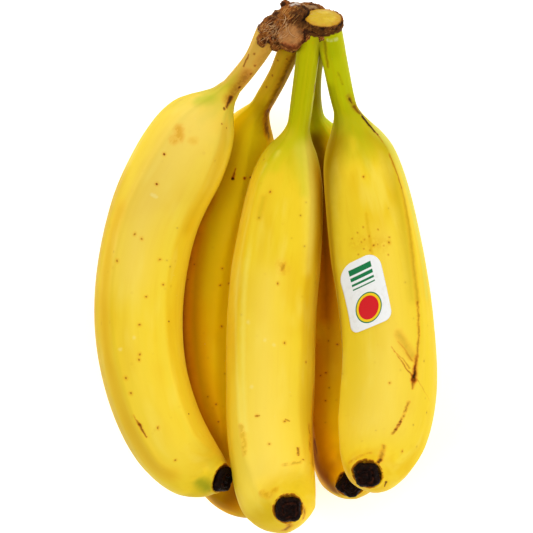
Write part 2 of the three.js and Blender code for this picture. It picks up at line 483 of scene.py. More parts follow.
    def mark(self, vector: Socket, mark: Mark, placed: Callable[[tuple[float, ...]], Vector]) -> None:
        """Lays one mark over the coats so far.

        Args:
            vector: The point, in metres.
            mark: The mark.
            placed: Turns one of the mark's places into a point in metres.
        """
        places = [placed(place) for place in mark.places]
        distance = self.away(vector, places, mark.joined, mark.taper * mark.width / 2 * MM)
        edge, middle = (mark.width + mark.blur) / 2 * MM, (mark.width - mark.blur) / 2 * MM
        mask = self.ramp(distance, edge, middle)
        if mark.broken:
            gaps = self.ramp(self.grain(vector, 1.8), 0.42, 0.56, 1 - mark.broken)
            mask = self.node("Math", mask, gaps, operation="MULTIPLY")
        lay = self.coat if mark.plain else self.stain
        lay(mark.colour, mask, mark.strength)
        if mark.depth:
            self.raise_by(mask, -mark.depth)

    def finish(self, roughness: Socket | float, settings: dict[str, Any]) -> bpy.types.Material:
        """Closes the material with its shader.

        Args:
            roughness: A value, or a pattern of it.
            settings: Other inputs of the shader, by identifier.

        Returns:
            The material.
        """
        sources = {"Base Color": self.base if self.colour is None else self.colour, "Roughness": roughness}
        if self.height is not None:
            sources["Normal"] = self.node("Bump", Strength=1.0, Distance=1.0, Height=self.height)
        shader = self.node("BsdfPrincipled", output="BSDF", **sources, **settings)
        self.node("OutputMaterial", shader)
        return self.material


# ------------------------------------------------------------------ finishes
THREAD_LEAN = (0.3, 0.5, -0.7)  # radians that the cork's threads are turned, so they run down to the left


@dataclass(frozen=True)
class PeelFinish:
    """Ripe banana peel: a waxy skin over pale flesh.

    It is yellow with broad soft clouds, faint fibres along it and small amber specks. The neck
    and stalk stay greener or turn to straw, skin near another finger is darkened with painted
    shade, most on the neck, and bruises and rubbed ridges go brown. Some of its marks are
    painted highlights and painted shade.
    """

    name: str
    neck: str
    stalk: str
    green_run: float  # millimetres past the stalk that the neck's colour fades over
    tip: str
    tip_strength: float
    marks: tuple[Mark, ...]
    ripe: str = "#F3D02A"
    deep: str = "#E6B404"
    pale: str = "#F8DE58"
    shelter: str = "#B87202"
    shelter_strength: float = 0.6
    spot: str = "#A8660A"
    halo: str = "#D8A20A"
    fleck: str = "#FBEFB8"
    dry_rim: str = "#5A3414"
    rust: str = "#A0540A"

    def material(self, stalk_length: float, length: float, placed: Callable[[tuple[float, ...]], Vector],
                 seed: Vector) -> bpy.types.Material:
        """Makes the peel of one finger.

        Args:
            stalk_length: The length of its stalk in millimetres.
            length: Its whole length in millimetres.
            placed: Turns (millimetres along, degrees round) into a straightened point in metres.
            seed: Moves the patterns, so that no two fingers are alike.

        Returns:
            The material.
        """
        paint = Paint(f"ripe_peel_{self.name}", self.ripe)
        grown = paint.node("Attribute", output="Vector", attribute_name="grown")
        ridge = paint.node("Attribute", output="Fac", attribute_name="ridge")
        painted_shade_nearness = paint.node("Attribute", output="Fac", attribute_name="painted_shade_nearness")
        skin = paint.node("VectorMath", grown, tuple(seed), operation="ADD")
        # clouds of 16 and 9 mm, drawn out along the finger, and fibres 1.6 mm apart
        clouds = paint.grain(skin, 16, (1, 1, 0.45))
        paint.coat(self.deep, paint.ramp(clouds, 0.48, 0.72), 0.4)
        elsewhere = paint.node("VectorMath", skin, (1.0, 1.0, 1.0), operation="ADD")
        pale_clouds = paint.grain(elsewhere, 9, (1, 1, 0.3))
        paint.coat(self.pale, paint.ramp(pale_clouds, 0.5, 0.74), 0.5)
        fibres = paint.grain(skin, 1.6, (1, 1, 0.045), 3)
        paint.coat(self.deep, paint.ramp(fibres, 0.5, 0.75), 0.2)
        # painted shade: skin near another finger is darkened toward deep orange
        paint.coat(self.shelter, paint.ramp(painted_shade_nearness, 0.6, 1.0), self.shelter_strength)
        # the neck is greener than the body, most on its ridges, and the stalk has its own colour
        along = paint.part(grown, "Z")
        uneven = paint.node("Math", along, paint.ramp(clouds, 0.3, 0.7, -7, 7), operation="ADD")
        neck = paint.ramp(uneven, stalk_length + self.green_run, stalk_length - 2)
        paint.coat(self.neck, neck, 0.95)
        on_ridges = paint.ramp(uneven, stalk_length + 1.6 * self.green_run, stalk_length, within=ridge)
        paint.coat(self.neck, on_ridges, 0.5)
        paint.coat(self.stalk, paint.ramp(uneven, stalk_length + 6, stalk_length - 10), 0.95)
        paint.coat(self.deep, paint.ramp(fibres, 0.45, 0.7, within=neck), 0.1)
        # painted shade: the neck darkens toward dry brown near another finger
        paint.coat(self.dry_rim, paint.ramp(painted_shade_nearness, 0.7, 1.0, within=neck), 0.4)
        # the last millimetres before the dried flower
        to_tip = paint.node("Math", length, uneven, operation="SUBTRACT")
        paint.coat(self.tip, paint.ramp(to_tip, 11, 1), self.tip_strength)
        # the lip round the flower has gone rusty, on its crest and inside
        patchy = paint.ramp(paint.grain(skin, 2.5, detail=3), 0.35, 0.65, -0.4, 0.4)
        to_lip = paint.node("Math", length, along, operation="SUBTRACT")
        ragged_lip = paint.node("Math", patchy, 0.4, to_lip, operation="MULTIPLY_ADD")
        paint.stain(self.rust, paint.ramp(ragged_lip, -0.4, -0.65), 0.9)
        # specks and the paler flecks of dust and scuffed wax
        paint.coat(self.halo, paint.specks(skin, 7, 1.2), 0.3)
        spots = paint.specks(skin, 7, 0.5)
        paint.coat(self.spot, spots, 0.7)
        stretched = paint.node("VectorMath", skin, (1.0, 1.0, 1.6), operation="MULTIPLY")
        paint.coat(self.fleck, paint.specks(stretched, 10, 0.5), 0.2)
        paint.marks(grown, self.marks, placed, paint.grain(skin, 2.2, detail=3, output="Color"), 0.6)
        # the peel dries brown where it leaves the crown
        ragged_start = paint.node("Math", along, patchy, operation="ADD")
        paint.coat(self.dry_rim, paint.ramp(ragged_start, 1.5, 0.9))
        # pores 0.7 mm apart and raised fibres
        paint.raise_by(paint.grain(skin, 0.7, (1, 1, 0.6)), 0.02)
        paint.raise_by(paint.grain(skin, 1.3, (1, 1, 0.04)), 0.03)
        paint.raise_by(spots, -0.05)
        return paint.finish(paint.ramp(pale_clouds, 0.3, 0.7, 0.5, 0.42), {"IOR": 1.1})


@dataclass(frozen=True)
class DriedFlowerFinish:
    """The dried, near-black remains of a flower: brittle, with a dull gloss, painted grey glints and a
    rusty ring.
    """

    black: str = "#140906"
    brown: str = "#32180E"
    rust: str = "#502412"
    grey: str = "#40342C"
    ring_radius: float = 3.3

    def material(self) -> bpy.types.Material:
        """Makes the dried flower's material.

        Returns:
            The material.
        """
        paint = Paint("dried_flower", self.black)
        place = paint.node("TexCoord", output="Object")
        # crust 1.5 mm across and cracks of 0.6 mm
        crust = paint.grain(place, 1.5, detail=4)
        paint.coat(self.brown, paint.ramp(crust, 0.5, 0.72), 0.7)
        grown = paint.node("Attribute", output="Vector", attribute_name="grown")
        flat = paint.node("VectorMath", grown, (1.0, 1.0, 0.0), operation="MULTIPLY")
        radius = paint.node("VectorMath", flat, output="Value", operation="LENGTH")
        off_ring = paint.node("Math", radius, self.ring_radius * MM, operation="SUBTRACT")
        off_ring = paint.node("Math", off_ring, operation="ABSOLUTE")
        ring = paint.ramp(crust, 0.4, 0.6, within=paint.ramp(off_ring, 0.7 * MM, 0.1 * MM))
        paint.coat(self.rust, ring, 0.45)
        fine = paint.grain(place, 0.6, detail=3)
        # painted glints: pale grey flecks on the fine grain
        paint.coat(self.grey, paint.ramp(fine, 0.6, 0.75), 0.4)
        paint.raise_by(crust, 0.55)
        paint.raise_by(fine, 0.2)
        return paint.finish(paint.ramp(crust, 0.35, 0.65, 0.4, 0.6), {"IOR": 1.12})


@dataclass(frozen=True)
class CorkFinish:
    """Dried crown tissue: matt brown cork and torn fibres, burnt dark where it was cut first."""

    marks: tuple[Mark, ...]
    cork: str = "#925420"
    dark: str = "#401E0A"
    light: str = "#C48E4C"
    crevice: str = "#1E100A"
    strand: str = "#CFA06A"

    def material(self, placed: Callable[[tuple[float, ...]], Vector]) -> bpy.types.Material:
        """Makes the crown's material.

        Args:
            placed: Turns a mark's place, seen from above, into a point in metres.

        Returns:
            The material.
        """
        paint = Paint("dried_crown_cork", self.cork)
        place = paint.node("TexCoord", output="Object")
        # blotches of 4 mm and threads 0.5 mm apart that run down to the left
        blotches = paint.grain(place, 4, detail=4)
        paint.coat(self.dark, paint.ramp(blotches, 0.48, 0.64), 0.85)
        leaning = paint.node("Mapping", Vector=place, Rotation=THREAD_LEAN)
        threads = paint.grain(leaning, 0.55, (0.12, 1.0, 1.0), 3)
        paint.coat(self.light, paint.ramp(threads, 0.52, 0.66), 0.75)
        paint.coat(self.dark, paint.ramp(threads, 0.48, 0.34), 0.8)
        paint.marks(place, self.marks, placed, paint.grain(place, 1.2, detail=3, output="Color"), 1.2)
        # painted shade: the cork's hollows are darkened toward near black
        hollows = paint.node("Attribute", output="Fac", attribute_name="hollow")
        paint.coat(self.crevice, paint.ramp(hollows, 0.25, 0.9), 0.85)
        paint.raise_by(threads, 0.28)
        paint.raise_by(blotches, 0.3)
        return paint.finish(paint.ramp(blotches, 0.3, 0.7, 0.9, 0.7), {"IOR": 1.15})

    def strand_material(self) -> bpy.types.Material:
        """Makes the loose strands, which are paler and silkier than the cork.

        Returns:
            The material.
        """
        paint = Paint("torn_crown_fibre", self.strand)
        # each strand changes from straw to brown over about 3 mm
        stretches = paint.grain(paint.node("TexCoord", output="Object"), 3, detail=2)
        paint.coat(self.cork, paint.ramp(stretches, 0.42, 0.62), 0.85)
        return paint.finish(0.6, {"IOR": 1.45})


@dataclass(frozen=True)
class CutFleshFinish:
    """The cut face of a stalk: moist yellow flesh with faint fibres, browning from its edge."""

    yellow: str = "#CEA810"
    pale: str = "#E4C83C"
    amber: str = "#C98A1C"
    brown: str = "#8A4F1A"

    def material(self) -> bpy.types.Material:
        """Makes the cut flesh.

        Returns:
            The material.
        """
        paint = Paint("cut_stalk_flesh", self.yellow)
        local = paint.node("Attribute", output="Vector", attribute_name="grown")
        # clouds of 3 mm, fibres 0.5 mm apart, and a browned edge 1 mm wide
        clouds = paint.grain(local, 3, detail=3)
        paint.coat(self.pale, paint.ramp(clouds, 0.5, 0.7), 0.6)
        fibres = paint.grain(local, 0.5, (0.15, 1, 1), 2)
        paint.coat(self.amber, paint.ramp(fibres, 0.55, 0.75), 0.15)
        paint.coat(self.brown, paint.specks(local, 2.5, 0.25), 0.7)
        edge = paint.node("Attribute", output="Fac", attribute_name="ridge")
        uneven = paint.node("Math", edge, paint.ramp(clouds, 0.3, 0.7, -0.12, 0.12), operation="ADD")
        paint.coat(self.amber, paint.ramp(uneven, 0.6, 0.95), 0.7)
        paint.coat(self.brown, paint.ramp(edge, 0.9, 1.0), 0.8)
        paint.raise_by(fibres, 0.08)
        paint.raise_by(clouds, 0.15)
        return paint.finish(0.4, {"IOR": 1.25, "Subsurface Weight": 0.06, "Subsurface Scale": 0.001})


@dataclass(frozen=True)
class PaperFinish:
    """A printed fruit label: glossy white film with green bars over a red roundel."""

    white: str = "#F4F4F1"
    red: str = "#D8141C"
    yellow: str = "#F8CF10"
    green: str = "#0F7A43"
    roundel: tuple[float, float] = (0.0, -6.4)
    rings: tuple[float, float, float] = (6.4, 5.9, 4.9)  # outer radii of green, yellow and red
    bars: tuple[tuple[float, float], ...] = ((10.6, 2.4), (7.6, 1.5), (5.2, 0.9), (3.3, 0.5))
    bar_length: float = 11.0
    grey: str = "#E6E4DC"
    ink_edge: float = 0.08  # millimetres that the edge of the ink fades over

    def material(self) -> bpy.types.Material:
        """Makes the printed label.

        Returns:
            The material.
        """
        paint = Paint("printed_label_film", self.white)
        flat = paint.node("Attribute", output="Vector", attribute_name="grown")
        # the film is a little uneven where it follows the skin
        ripples = paint.grain(flat, 3, detail=2)
        paint.coat(self.grey, paint.ramp(ripples, 0.5, 0.75), 0.5)
        across, up = paint.part(flat, "X"), paint.part(flat, "Y")
        half = self.bar_length / 2
        inside = paint.ramp(paint.node("Math", across, operation="ABSOLUTE"), half + self.ink_edge, half)
        for middle, height in self.bars:
            off = paint.node("Math", up, middle, operation="SUBTRACT")
            off = paint.node("Math", off, operation="ABSOLUTE")
            bar = paint.ramp(off, height / 2 + self.ink_edge, height / 2)
            paint.coat(self.green, paint.node("Math", bar, inside, operation="MULTIPLY"))
        centre = (self.roundel[0] * MM, self.roundel[1] * MM, 0.0)
        radius = paint.node("VectorMath", flat, centre, output="Value", operation="DISTANCE")
        for outer, ink in zip(self.rings, (self.green, self.yellow, self.red)):
            paint.coat(ink, paint.ramp(radius, (outer + self.ink_edge) * MM, outer * MM))
        paint.raise_by(ripples, 0.03)
        return paint.finish(0.45, {"IOR": 1.22})


@dataclass(frozen=True)
class FloorFinish:
    """Opal acrylic panel, matt and faintly lit from below, so that it stays white."""

    white: str = "#FBFBFB"
    shade: str = "#F6F6F6"
    glow: float = 0.38

    def material(self) -> bpy.types.Material:
        """Makes the lit panel.

        Returns:
            The material.
        """
        paint = Paint("opal_acrylic", self.white)
        # soft clouds of 40 mm
        clouds = paint.grain(paint.node("TexCoord", output="Object"), 40)
        paint.coat(self.shade, paint.ramp(clouds, 0.4, 0.7), 0.5)
        return paint.finish(0.9, {"IOR": 1.4, "Emission Strength": self.glow})


# ------------------------------------------------------------------ fingers
RIDGES = (-45.0, 45.0, 112.0, 180.0, 248.0)  # degrees round a finger from its hollow side
SHOULDER = (
    (0, 0), (4, 0.04), (9, 0.22), (14, 0.42), (20, 0.6), (28, 0.76), (38, 0.86), (50, 0.94), (65, 1))


class Centreline:
    """A smooth curve through points, measured by the distance along it."""

    DIVISIONS = 400

    def __init__(self, points: Sequence[Point]) -> None:
        """Measures the curve through the points.

        Args:
            points: Points in millimetres, from the crown to the tip.
        """
        self.points = [Vector(p) for p in points]
        self.samples = [self._at_share(i / self.DIVISIONS) for i in range(self.DIVISIONS + 1)]
        self.distances = [0.0]
        for before, after in zip(self.samples, self.samples[1:]):
            self.distances.append(self.distances[-1] + (after - before).length)
        self.length = self.distances[-1]

    def _at_share(self, share: float) -> Vector:
        """Returns the point at a share of the points' run, spaced so that no loop forms.

        Args:
            share: From 0 at the first point to 1 at the last.

        Returns:
            The point.
        """
        points, last = self.points, len(self.points) - 1
        i = min(int(share * last), last - 1)
        t = share * last - i
        before = points[i - 1] if i > 0 else points[0] * 2 - points[1]
        after = points[i + 2] if i + 2 <= last else points[last] * 2 - points[last - 1]
        run = (before, points[i], points[i + 1], after)
        first, middle, final = ((b - a).length ** 0.5 for a, b in zip(run, run[1:]))
        p0, p1, p2, p3 = run
        leaving = ((p1 - p0) / first - (p2 - p0) / (first + middle) + (p2 - p1) / middle) * middle
        arriving = ((p2 - p1) / middle - (p3 - p1) / (middle + final) + (p3 - p2) / final) * middle
        square = (p2 - p1) * 3 - leaving * 2 - arriving
        cube = (p1 - p2) * 2 + leaving + arriving
        return p1 + leaving * t + square * t ** 2 + cube * t ** 3

    def at(self, distance: float) -> Vector:
        """Returns the point at a distance; the curve runs straight on past both ends.

        Args:
            distance: Millimetres from the first point.

        Returns:
            The point.
        """
        inside = min(max(distance, 0.0), self.length)
        i = min(bisect_right(self.distances, inside) - 1, self.DIVISIONS - 1)
        low, high = self.distances[i], self.distances[i + 1]
        point = self._at_share((i + (inside - low) / (high - low)) / self.DIVISIONS)
        if inside == distance:
            return point
        end, near = (0, 1) if distance < 0 else (self.DIVISIONS, self.DIVISIONS - 1)
        outward = (self.samples[end] - self.samples[near]).normalized()
        return point + outward * abs(distance - inside)


@dataclass
class Banana:
    """One finger of the hand, whose peel runs from the crown to the lip round its flower end."""

    name: str
    girth: float  # the body's radius on its ridges
    stalk: float  # how long the stalk is
    neck: float  # how long the neck is, against the shoulder's distances
    hollow: Point  # the way that the hollow side faces
    roll: float  # degrees that the ridges are turned from the hollow side
    axis: tuple[Point, ...]
    finish: PeelFinish
    seed: int
    twist: tuple[tuple[float, float], ...] = ((0, 0), (1, 0))  # degrees of roll added along the finger
    ridges: tuple[float, ...] = RIDGES
    shoulder: tuple[tuple[float, float], ...] = SHOULDER
    taper: tuple[tuple[float, float], ...] = (
        (0, 0.36), (3, 0.48), (8, 0.64), (14, 0.78), (23, 0.9), (36, 0.98), (50, 1))
    flatness: float = 0.42  # how flat its faces are: 0 is round, 1 a straight chord
    ridge_softness: int = 7  # degrees that a ridge is rounded over, each way
    tip_roundness: float = 0.7
    tip_share: float = 0.96  # the tip's section, as a share of the radius on its ridges
    unevenness: Point = (0.32, 0.1, 0.22)  # heights of broad swells, of flutes and of stalk grooves
    keel_height: float = 0.3
    keel_width: float = 5.0  # degrees
    turn_span: float = 17.0  # a ring faces along the mean run of the centreline this far either way
    stalk_radius: float = 4.7
    stalk_flare: float = 0.6  # how much thicker the stalk is where it leaves the crown
    stalk_flare_length: float = 17.0
    stalk_oval: float = 0.12
    tip_rounding: tuple[float, float] = (24, 5)  # before the end, where the ridges fade
    sides_per_face: int = 28
    ring_spacing: float = 0.8
    lip: tuple[tuple[float, float], ...] = (
        (0.35, 0.975), (0.6, 0.92), (0.65, 0.87), (0.5, 0.825), (-0.4, 0.8), (-0.4, 0.0))
    line: Centreline = field(init=False)
    inward_hint: Vector = field(init=False)
    round: list[float] = field(init=False)
    drift: Vector = field(init=False)

    def __post_init__(self) -> None:
        """Works out the centreline and the soft round of the section."""
        self.line = Centreline(self.axis)
        self.inward_hint = Vector(self.hollow).normalized()
        self.drift = Vector((self.seed * 7.3, self.seed * 3.1, self.seed * 11.7))
        window = range(-self.ridge_softness, self.ridge_softness + 1)
        weights = [self.ridge_softness + 1 - abs(k) for k in window]
        sharp = [self._sharp_section(degree) for degree in range(360)]
        self.round = [sum(w * sharp[(degree + k) % 360] for w, k in zip(weights, window)) / sum(weights)
                      for degree in range(360)]

    @property
    def length(self) -> float:
        """The finger's length along its centreline."""
        return self.line.length

    def _sharp_section(self, angle: float) -> float:
        """Returns the share of the ridge radius at an angle from the hollow, with sharp ridges.

        Args:
            angle: Degrees from the hollow side, before the finger is rolled.

        Returns:
            The share, 1 on a ridge.
        """
        turned_to = (angle - self.ridges[0]) % 360 + self.ridges[0]
        ends = (*self.ridges, self.ridges[0] + 360)
        i = next(k for k, ridge in enumerate(ends) if ridge > turned_to)
        half = math.radians(ends[i] - ends[i - 1]) / 2
        off = math.radians(turned_to - ends[i - 1]) - half
        return lerp(1, math.cos(half) / math.cos(off), self.flatness)

    def widening(self, distance: float) -> float:
        """Returns how far the finger has widened from its stalk, 0 to 1."""
        return along_points(self.shoulder, (distance - self.stalk) / self.neck)

    def radius(self, distance: float) -> float:
        """Returns the radius on the ridges at a distance along the finger.

        Args:
            distance: Millimetres along the finger from the crown.

        Returns:
            The radius in millimetres.
        """
        narrowing = along_points(self.taper, self.length - distance)
        flare = self.stalk_flare * (1 - smoothstep(distance, 0, self.stalk_flare_length))
        return lerp(self.stalk_radius, self.girth, self.widening(distance)) * narrowing + flare

    def rolled(self, distance: float) -> float:
        """Returns how far round the section has turned at a distance, in degrees."""
        return self.roll + along_points(self.twist, distance)

    def section(self, angle: float, distance: float) -> float:
        """Returns the share of the ridge radius at an angle, with softened ridges.

        Args:
            angle: Degrees round the finger from its hollow side.
            distance: Millimetres along the finger from the crown.

        Returns:
            The share, about 1 on a ridge.
        """
        turned_to = (angle - self.rolled(distance)) % 360
        low = int(turned_to)
        share = lerp(self.round[low % 360], self.round[(low + 1) % 360], turned_to - low)
        rounded = self.tip_roundness * smoothstep(
            distance, self.length - self.tip_rounding[0], self.length - self.tip_rounding[1])
        return lerp(share, self.tip_share, rounded)

    def keel(self, angle: float, distance: float) -> float:
        """Returns how near an angle is to a ridge's middle, 0 to 1.

        Args:
            angle: Degrees round the finger from its hollow side.
            distance: Millimetres along the finger from the crown.

        Returns:
            The nearness.
        """
        turned_to = angle - self.rolled(distance)
        off = min(abs((turned_to - ridge + 180) % 360 - 180) for ridge in self.ridges)
        return math.exp(-(off / self.keel_width) ** 2)

    def relief(self, angle: float, distance: float, widening: float) -> float:
        """Returns the height of the skin's own unevenness.

        Args:
            angle: Degrees round the finger from its hollow side.
            distance: Millimetres along the finger from the crown.
            widening: 0 on the stalk and 1 on the body.

        Returns:
            The height in millimetres.
        """
        turn = math.radians(angle)
        ray = Vector((math.cos(turn), math.sin(turn), 0))
        # swells 34 mm long, flutes 60 mm long and stalk grooves 25 mm long
        broad = noise.noise(ray * 0.9 + Vector((0, 0, distance / 34)) + self.drift)
        flutes = noise.noise(ray * 4.5 + Vector((0, 0, distance / 60)) + self.drift)
        grooves = noise.noise(ray * 3 + Vector((0, 0, distance / 25)) - self.drift)
        body = widening * smoothstep(self.length - distance, 0, 30)
        swell, flute, groove = self.unevenness
        on_body = swell * broad + flute * flutes + self.keel_height * self.keel(angle, distance)
        return on_body * body + groove * grooves * (1 - body)

    def frame(self, distance: float) -> tuple[Vector, Vector, Vector, Vector]:
        """Returns the centre, and the ways forward, to the hollow side and across.

        Args:
            distance: Millimetres along the finger from the crown.

        Returns:
            The centre, and three unit vectors.
        """
        ahead, behind = self.line.at(distance + self.turn_span), self.line.at(distance - self.turn_span)
        forward = (ahead - behind).normalized()
        inward = (self.inward_hint - forward * self.inward_hint.dot(forward)).normalized()
        return self.line.at(distance), forward, inward, inward.cross(forward)

    def reach(self, angle: float, distance: float, radius: float, widening: float) -> float:
        """Returns the skin's distance from the centreline at an angle."""
        oval = self.stalk_oval * (1 - widening) * math.cos(math.radians(angle)) ** 2
        return radius * self.section(angle, distance) * (1 - oval) + self.relief(angle, distance, widening)

    def point(self, angle: float, distance: float, height: float = 0.0) -> Vector:
        """Returns a point above the skin.

        Args:
            angle: Degrees round the finger from its hollow side.
            distance: Millimetres along it.
            height: Millimetres above the skin.

        Returns:
            The point.
        """
        centre, _, inward, across = self.frame(distance)
        turn = math.radians(angle)
        reach = self.reach(angle, distance, self.radius(distance), self.widening(distance)) + height
        return centre + (inward * math.cos(turn) + across * math.sin(turn)) * reach

    def grown(self, place: tuple[float, ...]) -> Vector:
        """Returns a point of the straightened finger, in metres.

        Args:
            place: Millimetres along the finger, and degrees round it from its hollow side.

        Returns:
            The point, which the peel's pattern follows.
        """
        distance, angle = place
        turn = math.radians(angle)
        reach = self.radius(distance)
        return Vector((math.cos(turn) * reach, math.sin(turn) * reach, distance)) * MM

    def skin(self) -> bmesh.types.BMesh:
        """Wraps the peel's mesh, from its end in the crown to the lip round the flower end.

        Returns:
            The mesh, with what its pattern follows and how near each point is to a ridge.
        """
        count = round(self.length / self.ring_spacing)
        rows = [(0.0, 0.0), *((self.length * i / count, 1.0) for i in range(count + 1))]
        rows += [(self.length + beyond, share) for beyond, share in self.lip]
        frames = [self.frame(distance) for distance, _ in rows]
        sizes = [(self.radius(distance), self.widening(distance)) for distance, _ in rows]
        furthest = list(accumulate((distance for distance, _ in rows), max))
        ends = (*self.ridges, self.ridges[0] + 360)
        spread = [lerp(ridge, after, k / self.sides_per_face)
                  for ridge, after in zip(ends, ends[1:]) for k in range(self.sides_per_face)]

        def place(side: int, station: int) -> Vector:
            """Returns the skin's point, pressed flat on the floor.

            Args:
                side: Which point round the skin.
                station: Which row along it.

            Returns:
                The point in millimetres.
            """
            distance, share = rows[station]
            centre, _, inward, across = frames[station]
            angle = spread[side] + self.rolled(distance)
            turn = math.radians(angle)
            reach = share * self.reach(angle, min(distance, self.length), *sizes[station])
            spot = centre + (inward * math.cos(turn) + across * math.sin(turn)) * reach
            spot.z = max(spot.z, 0.0)
            return spot

        def straightened(side: int, station: int) -> Vector:
            """Returns the straightened finger's point, where the lip's inside lies past its crest.

            Args:
                side: Which point round the skin.
                station: Which row along it.

            Returns:
                The point in metres.
            """
            distance, share = rows[station]
            turn = math.radians(spread[side] + self.rolled(distance))
            reach = share * sizes[station][0]
            return Vector((math.cos(turn) * reach, math.sin(turn) * reach, furthest[station])) * MM

        mesh = bmesh.new()
        ridges = [Vector((self.keel(angle + self.rolled(0), 0),) * 3) for angle in spread]
        tags = {"grown": straightened, "ridge": lambda side, station: ridges[side]}
        wrap(mesh, len(spread), len(rows), place, tags)
        return mesh

    def peel(self, mesh: bmesh.types.BMesh) -> bpy.types.Object:
        """Dresses the peel's mesh."""
        material = self.finish.material(self.stalk, self.length, self.grown, self.drift)
        return finished(f"peel_{self.name}", mesh, material, Slot.PEEL, [f"banana_{self.name}"])


@dataclass(frozen=True)
class FlowerEnd:
    """The dry remains of a finger's flower: a ragged cap with soft corners, hollow in its middle."""

    finger: Banana
    turn: float = 5.0  # degrees that its corners are turned from the hollow side
    size: float = 0.905
    outline: tuple[tuple[float, float], ...] = (
        (0, 0), (5.1, 0), (5.4, 0.4), (5.75, 0.9), (5.85, 1.4), (5.7, 2.0), (5.3, 2.7), (4.8, 3.2),
        (4.3, 3.4), (3.95, 3.3), (3.7, 3.0), (3.4, 2.9), (3.1, 3.2), (2.7, 3.4), (2.3, 3.3), (2.0, 3.0),
        (1.6, 2.9), (1.2, 3.2), (0.7, 3.5), (0, 3.6))
    sides: int = 75
    corners: int = 4
    corner_height: float = 0.09  # as a share of its radius
    raggedness: float = 0.08  # as a share of its radius
    lift: float = 0.7  # how far its crust heaves

    def build(self, material: bpy.types.Material) -> bpy.types.Object:
        """Builds the flower end, seated in the lip of the peel.

        Args:
            material: The material that all five share.

        Returns:
            The piece.
        """
        name, drift = self.finger.name, self.finger.drift
        centre, forward, inward, across = self.finger.frame(self.finger.length)
        mesh = turned(self.outline, self.sides)
        layer = mesh.verts.layers.float_vector.new("grown")
        for vert in mesh.verts:
            radius, height = math.hypot(vert.co.x, vert.co.y), vert.co.z
            angle = math.atan2(vert.co.y, vert.co.x)
            corner = self.corner_height * math.cos(self.corners * (angle - math.radians(self.turn)))
            rough = self.raggedness * noise.fractal(vert.co * 0.3 + drift, 0.6, 2.0, 4)
            heave = self.lift * noise.noise(vert.co * 0.55 - drift) * smoothstep(height, 1.0, 3.0)
            vert[layer] = vert.co * MM
            ray = inward * math.cos(angle) + across * math.sin(angle)
            reach = radius * self.size * (1 + corner + rough)
            vert.co = centre + forward * (GAP / 2 + height + heave) + ray * reach
        return finished(f"dried_flower_{name}", mesh, material, Slot.FLOWER, [f"flower_end_{name}"])


@dataclass
class Hand:
    """The fingers, which press flat on each other and stay a hair apart."""

    fingers: list[Banana]
    reach: float = 11.0  # skin nearer than this to another finger gets painted shade
    held: float = 12.0  # the skin doesn't give way this far before its stalk ends
    free: float = 4.0  # and gives way in full this far after

    def skins(self) -> list[bmesh.types.BMesh]:
        """Wraps every finger's skin, presses it clear of the others and tags how near it is to them, for
        painted shade.

        Returns:
            The skins, in the fingers' order.
        """
        skins = [finger.skin() for finger in self.fingers]
        trees = [BVHTree.FromBMesh(skin) for skin in skins]
        for skin, finger in zip(skins, self.fingers):
            others = [tree for tree, owner in zip(trees, self.fingers) if owner is not finger]
            self.press(skin, finger, others)
        return skins

    def press(self, skin: bmesh.types.BMesh, finger: Banana, others: Sequence[BVHTree]) -> None:
        """Moves a skin half the way out of each other finger, and tags how near it is to them, for painted
        shade.

        Args:
            skin: The skin's mesh.
            finger: Its finger.
            others: The skins of the other fingers, before any is pressed.
        """
        grown = skin.verts.layers.float_vector["grown"]
        painted_shade_nearness = skin.verts.layers.float.new("painted_shade_nearness")
        for vert in skin.verts:
            loose = smoothstep(vert[grown].z / MM, finger.stalk - self.held, finger.stalk + self.free)
            start, nearest = vert.co.copy(), self.reach
            for tree in others:
                found, normal, _, distance = tree.find_nearest(start, self.reach)
                if found is None:
                    continue
                clear = (start - found).dot(normal)
                nearest = min(nearest, distance if clear > 0 else 0.0)
                if clear < GAP:
                    vert.co += normal * ((GAP - clear) / 2 * loose)
            vert[painted_shade_nearness] = 1 - nearest / self.reach
        skin.normal_update()


# ------------------------------------------------------------------ crown
@dataclass(frozen=True)
class Stub:
    """What is left of a finger on the crown, turned about its own axis."""

    at: Point
    axis: Point
    flat: float  # how much narrower it is from front to back
    outline: tuple[tuple[float, float], ...]
    sides: int = 72

    def stand(self) -> Matrix:
        """Returns the matrix that stands the stub, made along Z, on the crown.

        Returns:
            The matrix.
        """
        upright = Matrix.Rotation(math.radians(-90), 4, "X") @ Matrix.Scale(self.flat, 4, (0, 1, 0))
        lean = Vector((0, 1, 0)).rotation_difference(Vector(self.axis)).to_matrix().to_4x4()
        return Matrix.Translation(self.at) @ lean @ upright

    def body(self) -> bmesh.types.BMesh:
        """Returns the stub's turned body, standing in its place.

        Returns:
            The body.
        """
        mesh = turned(self.outline, self.sides)
        mesh.transform(self.stand())
        return mesh


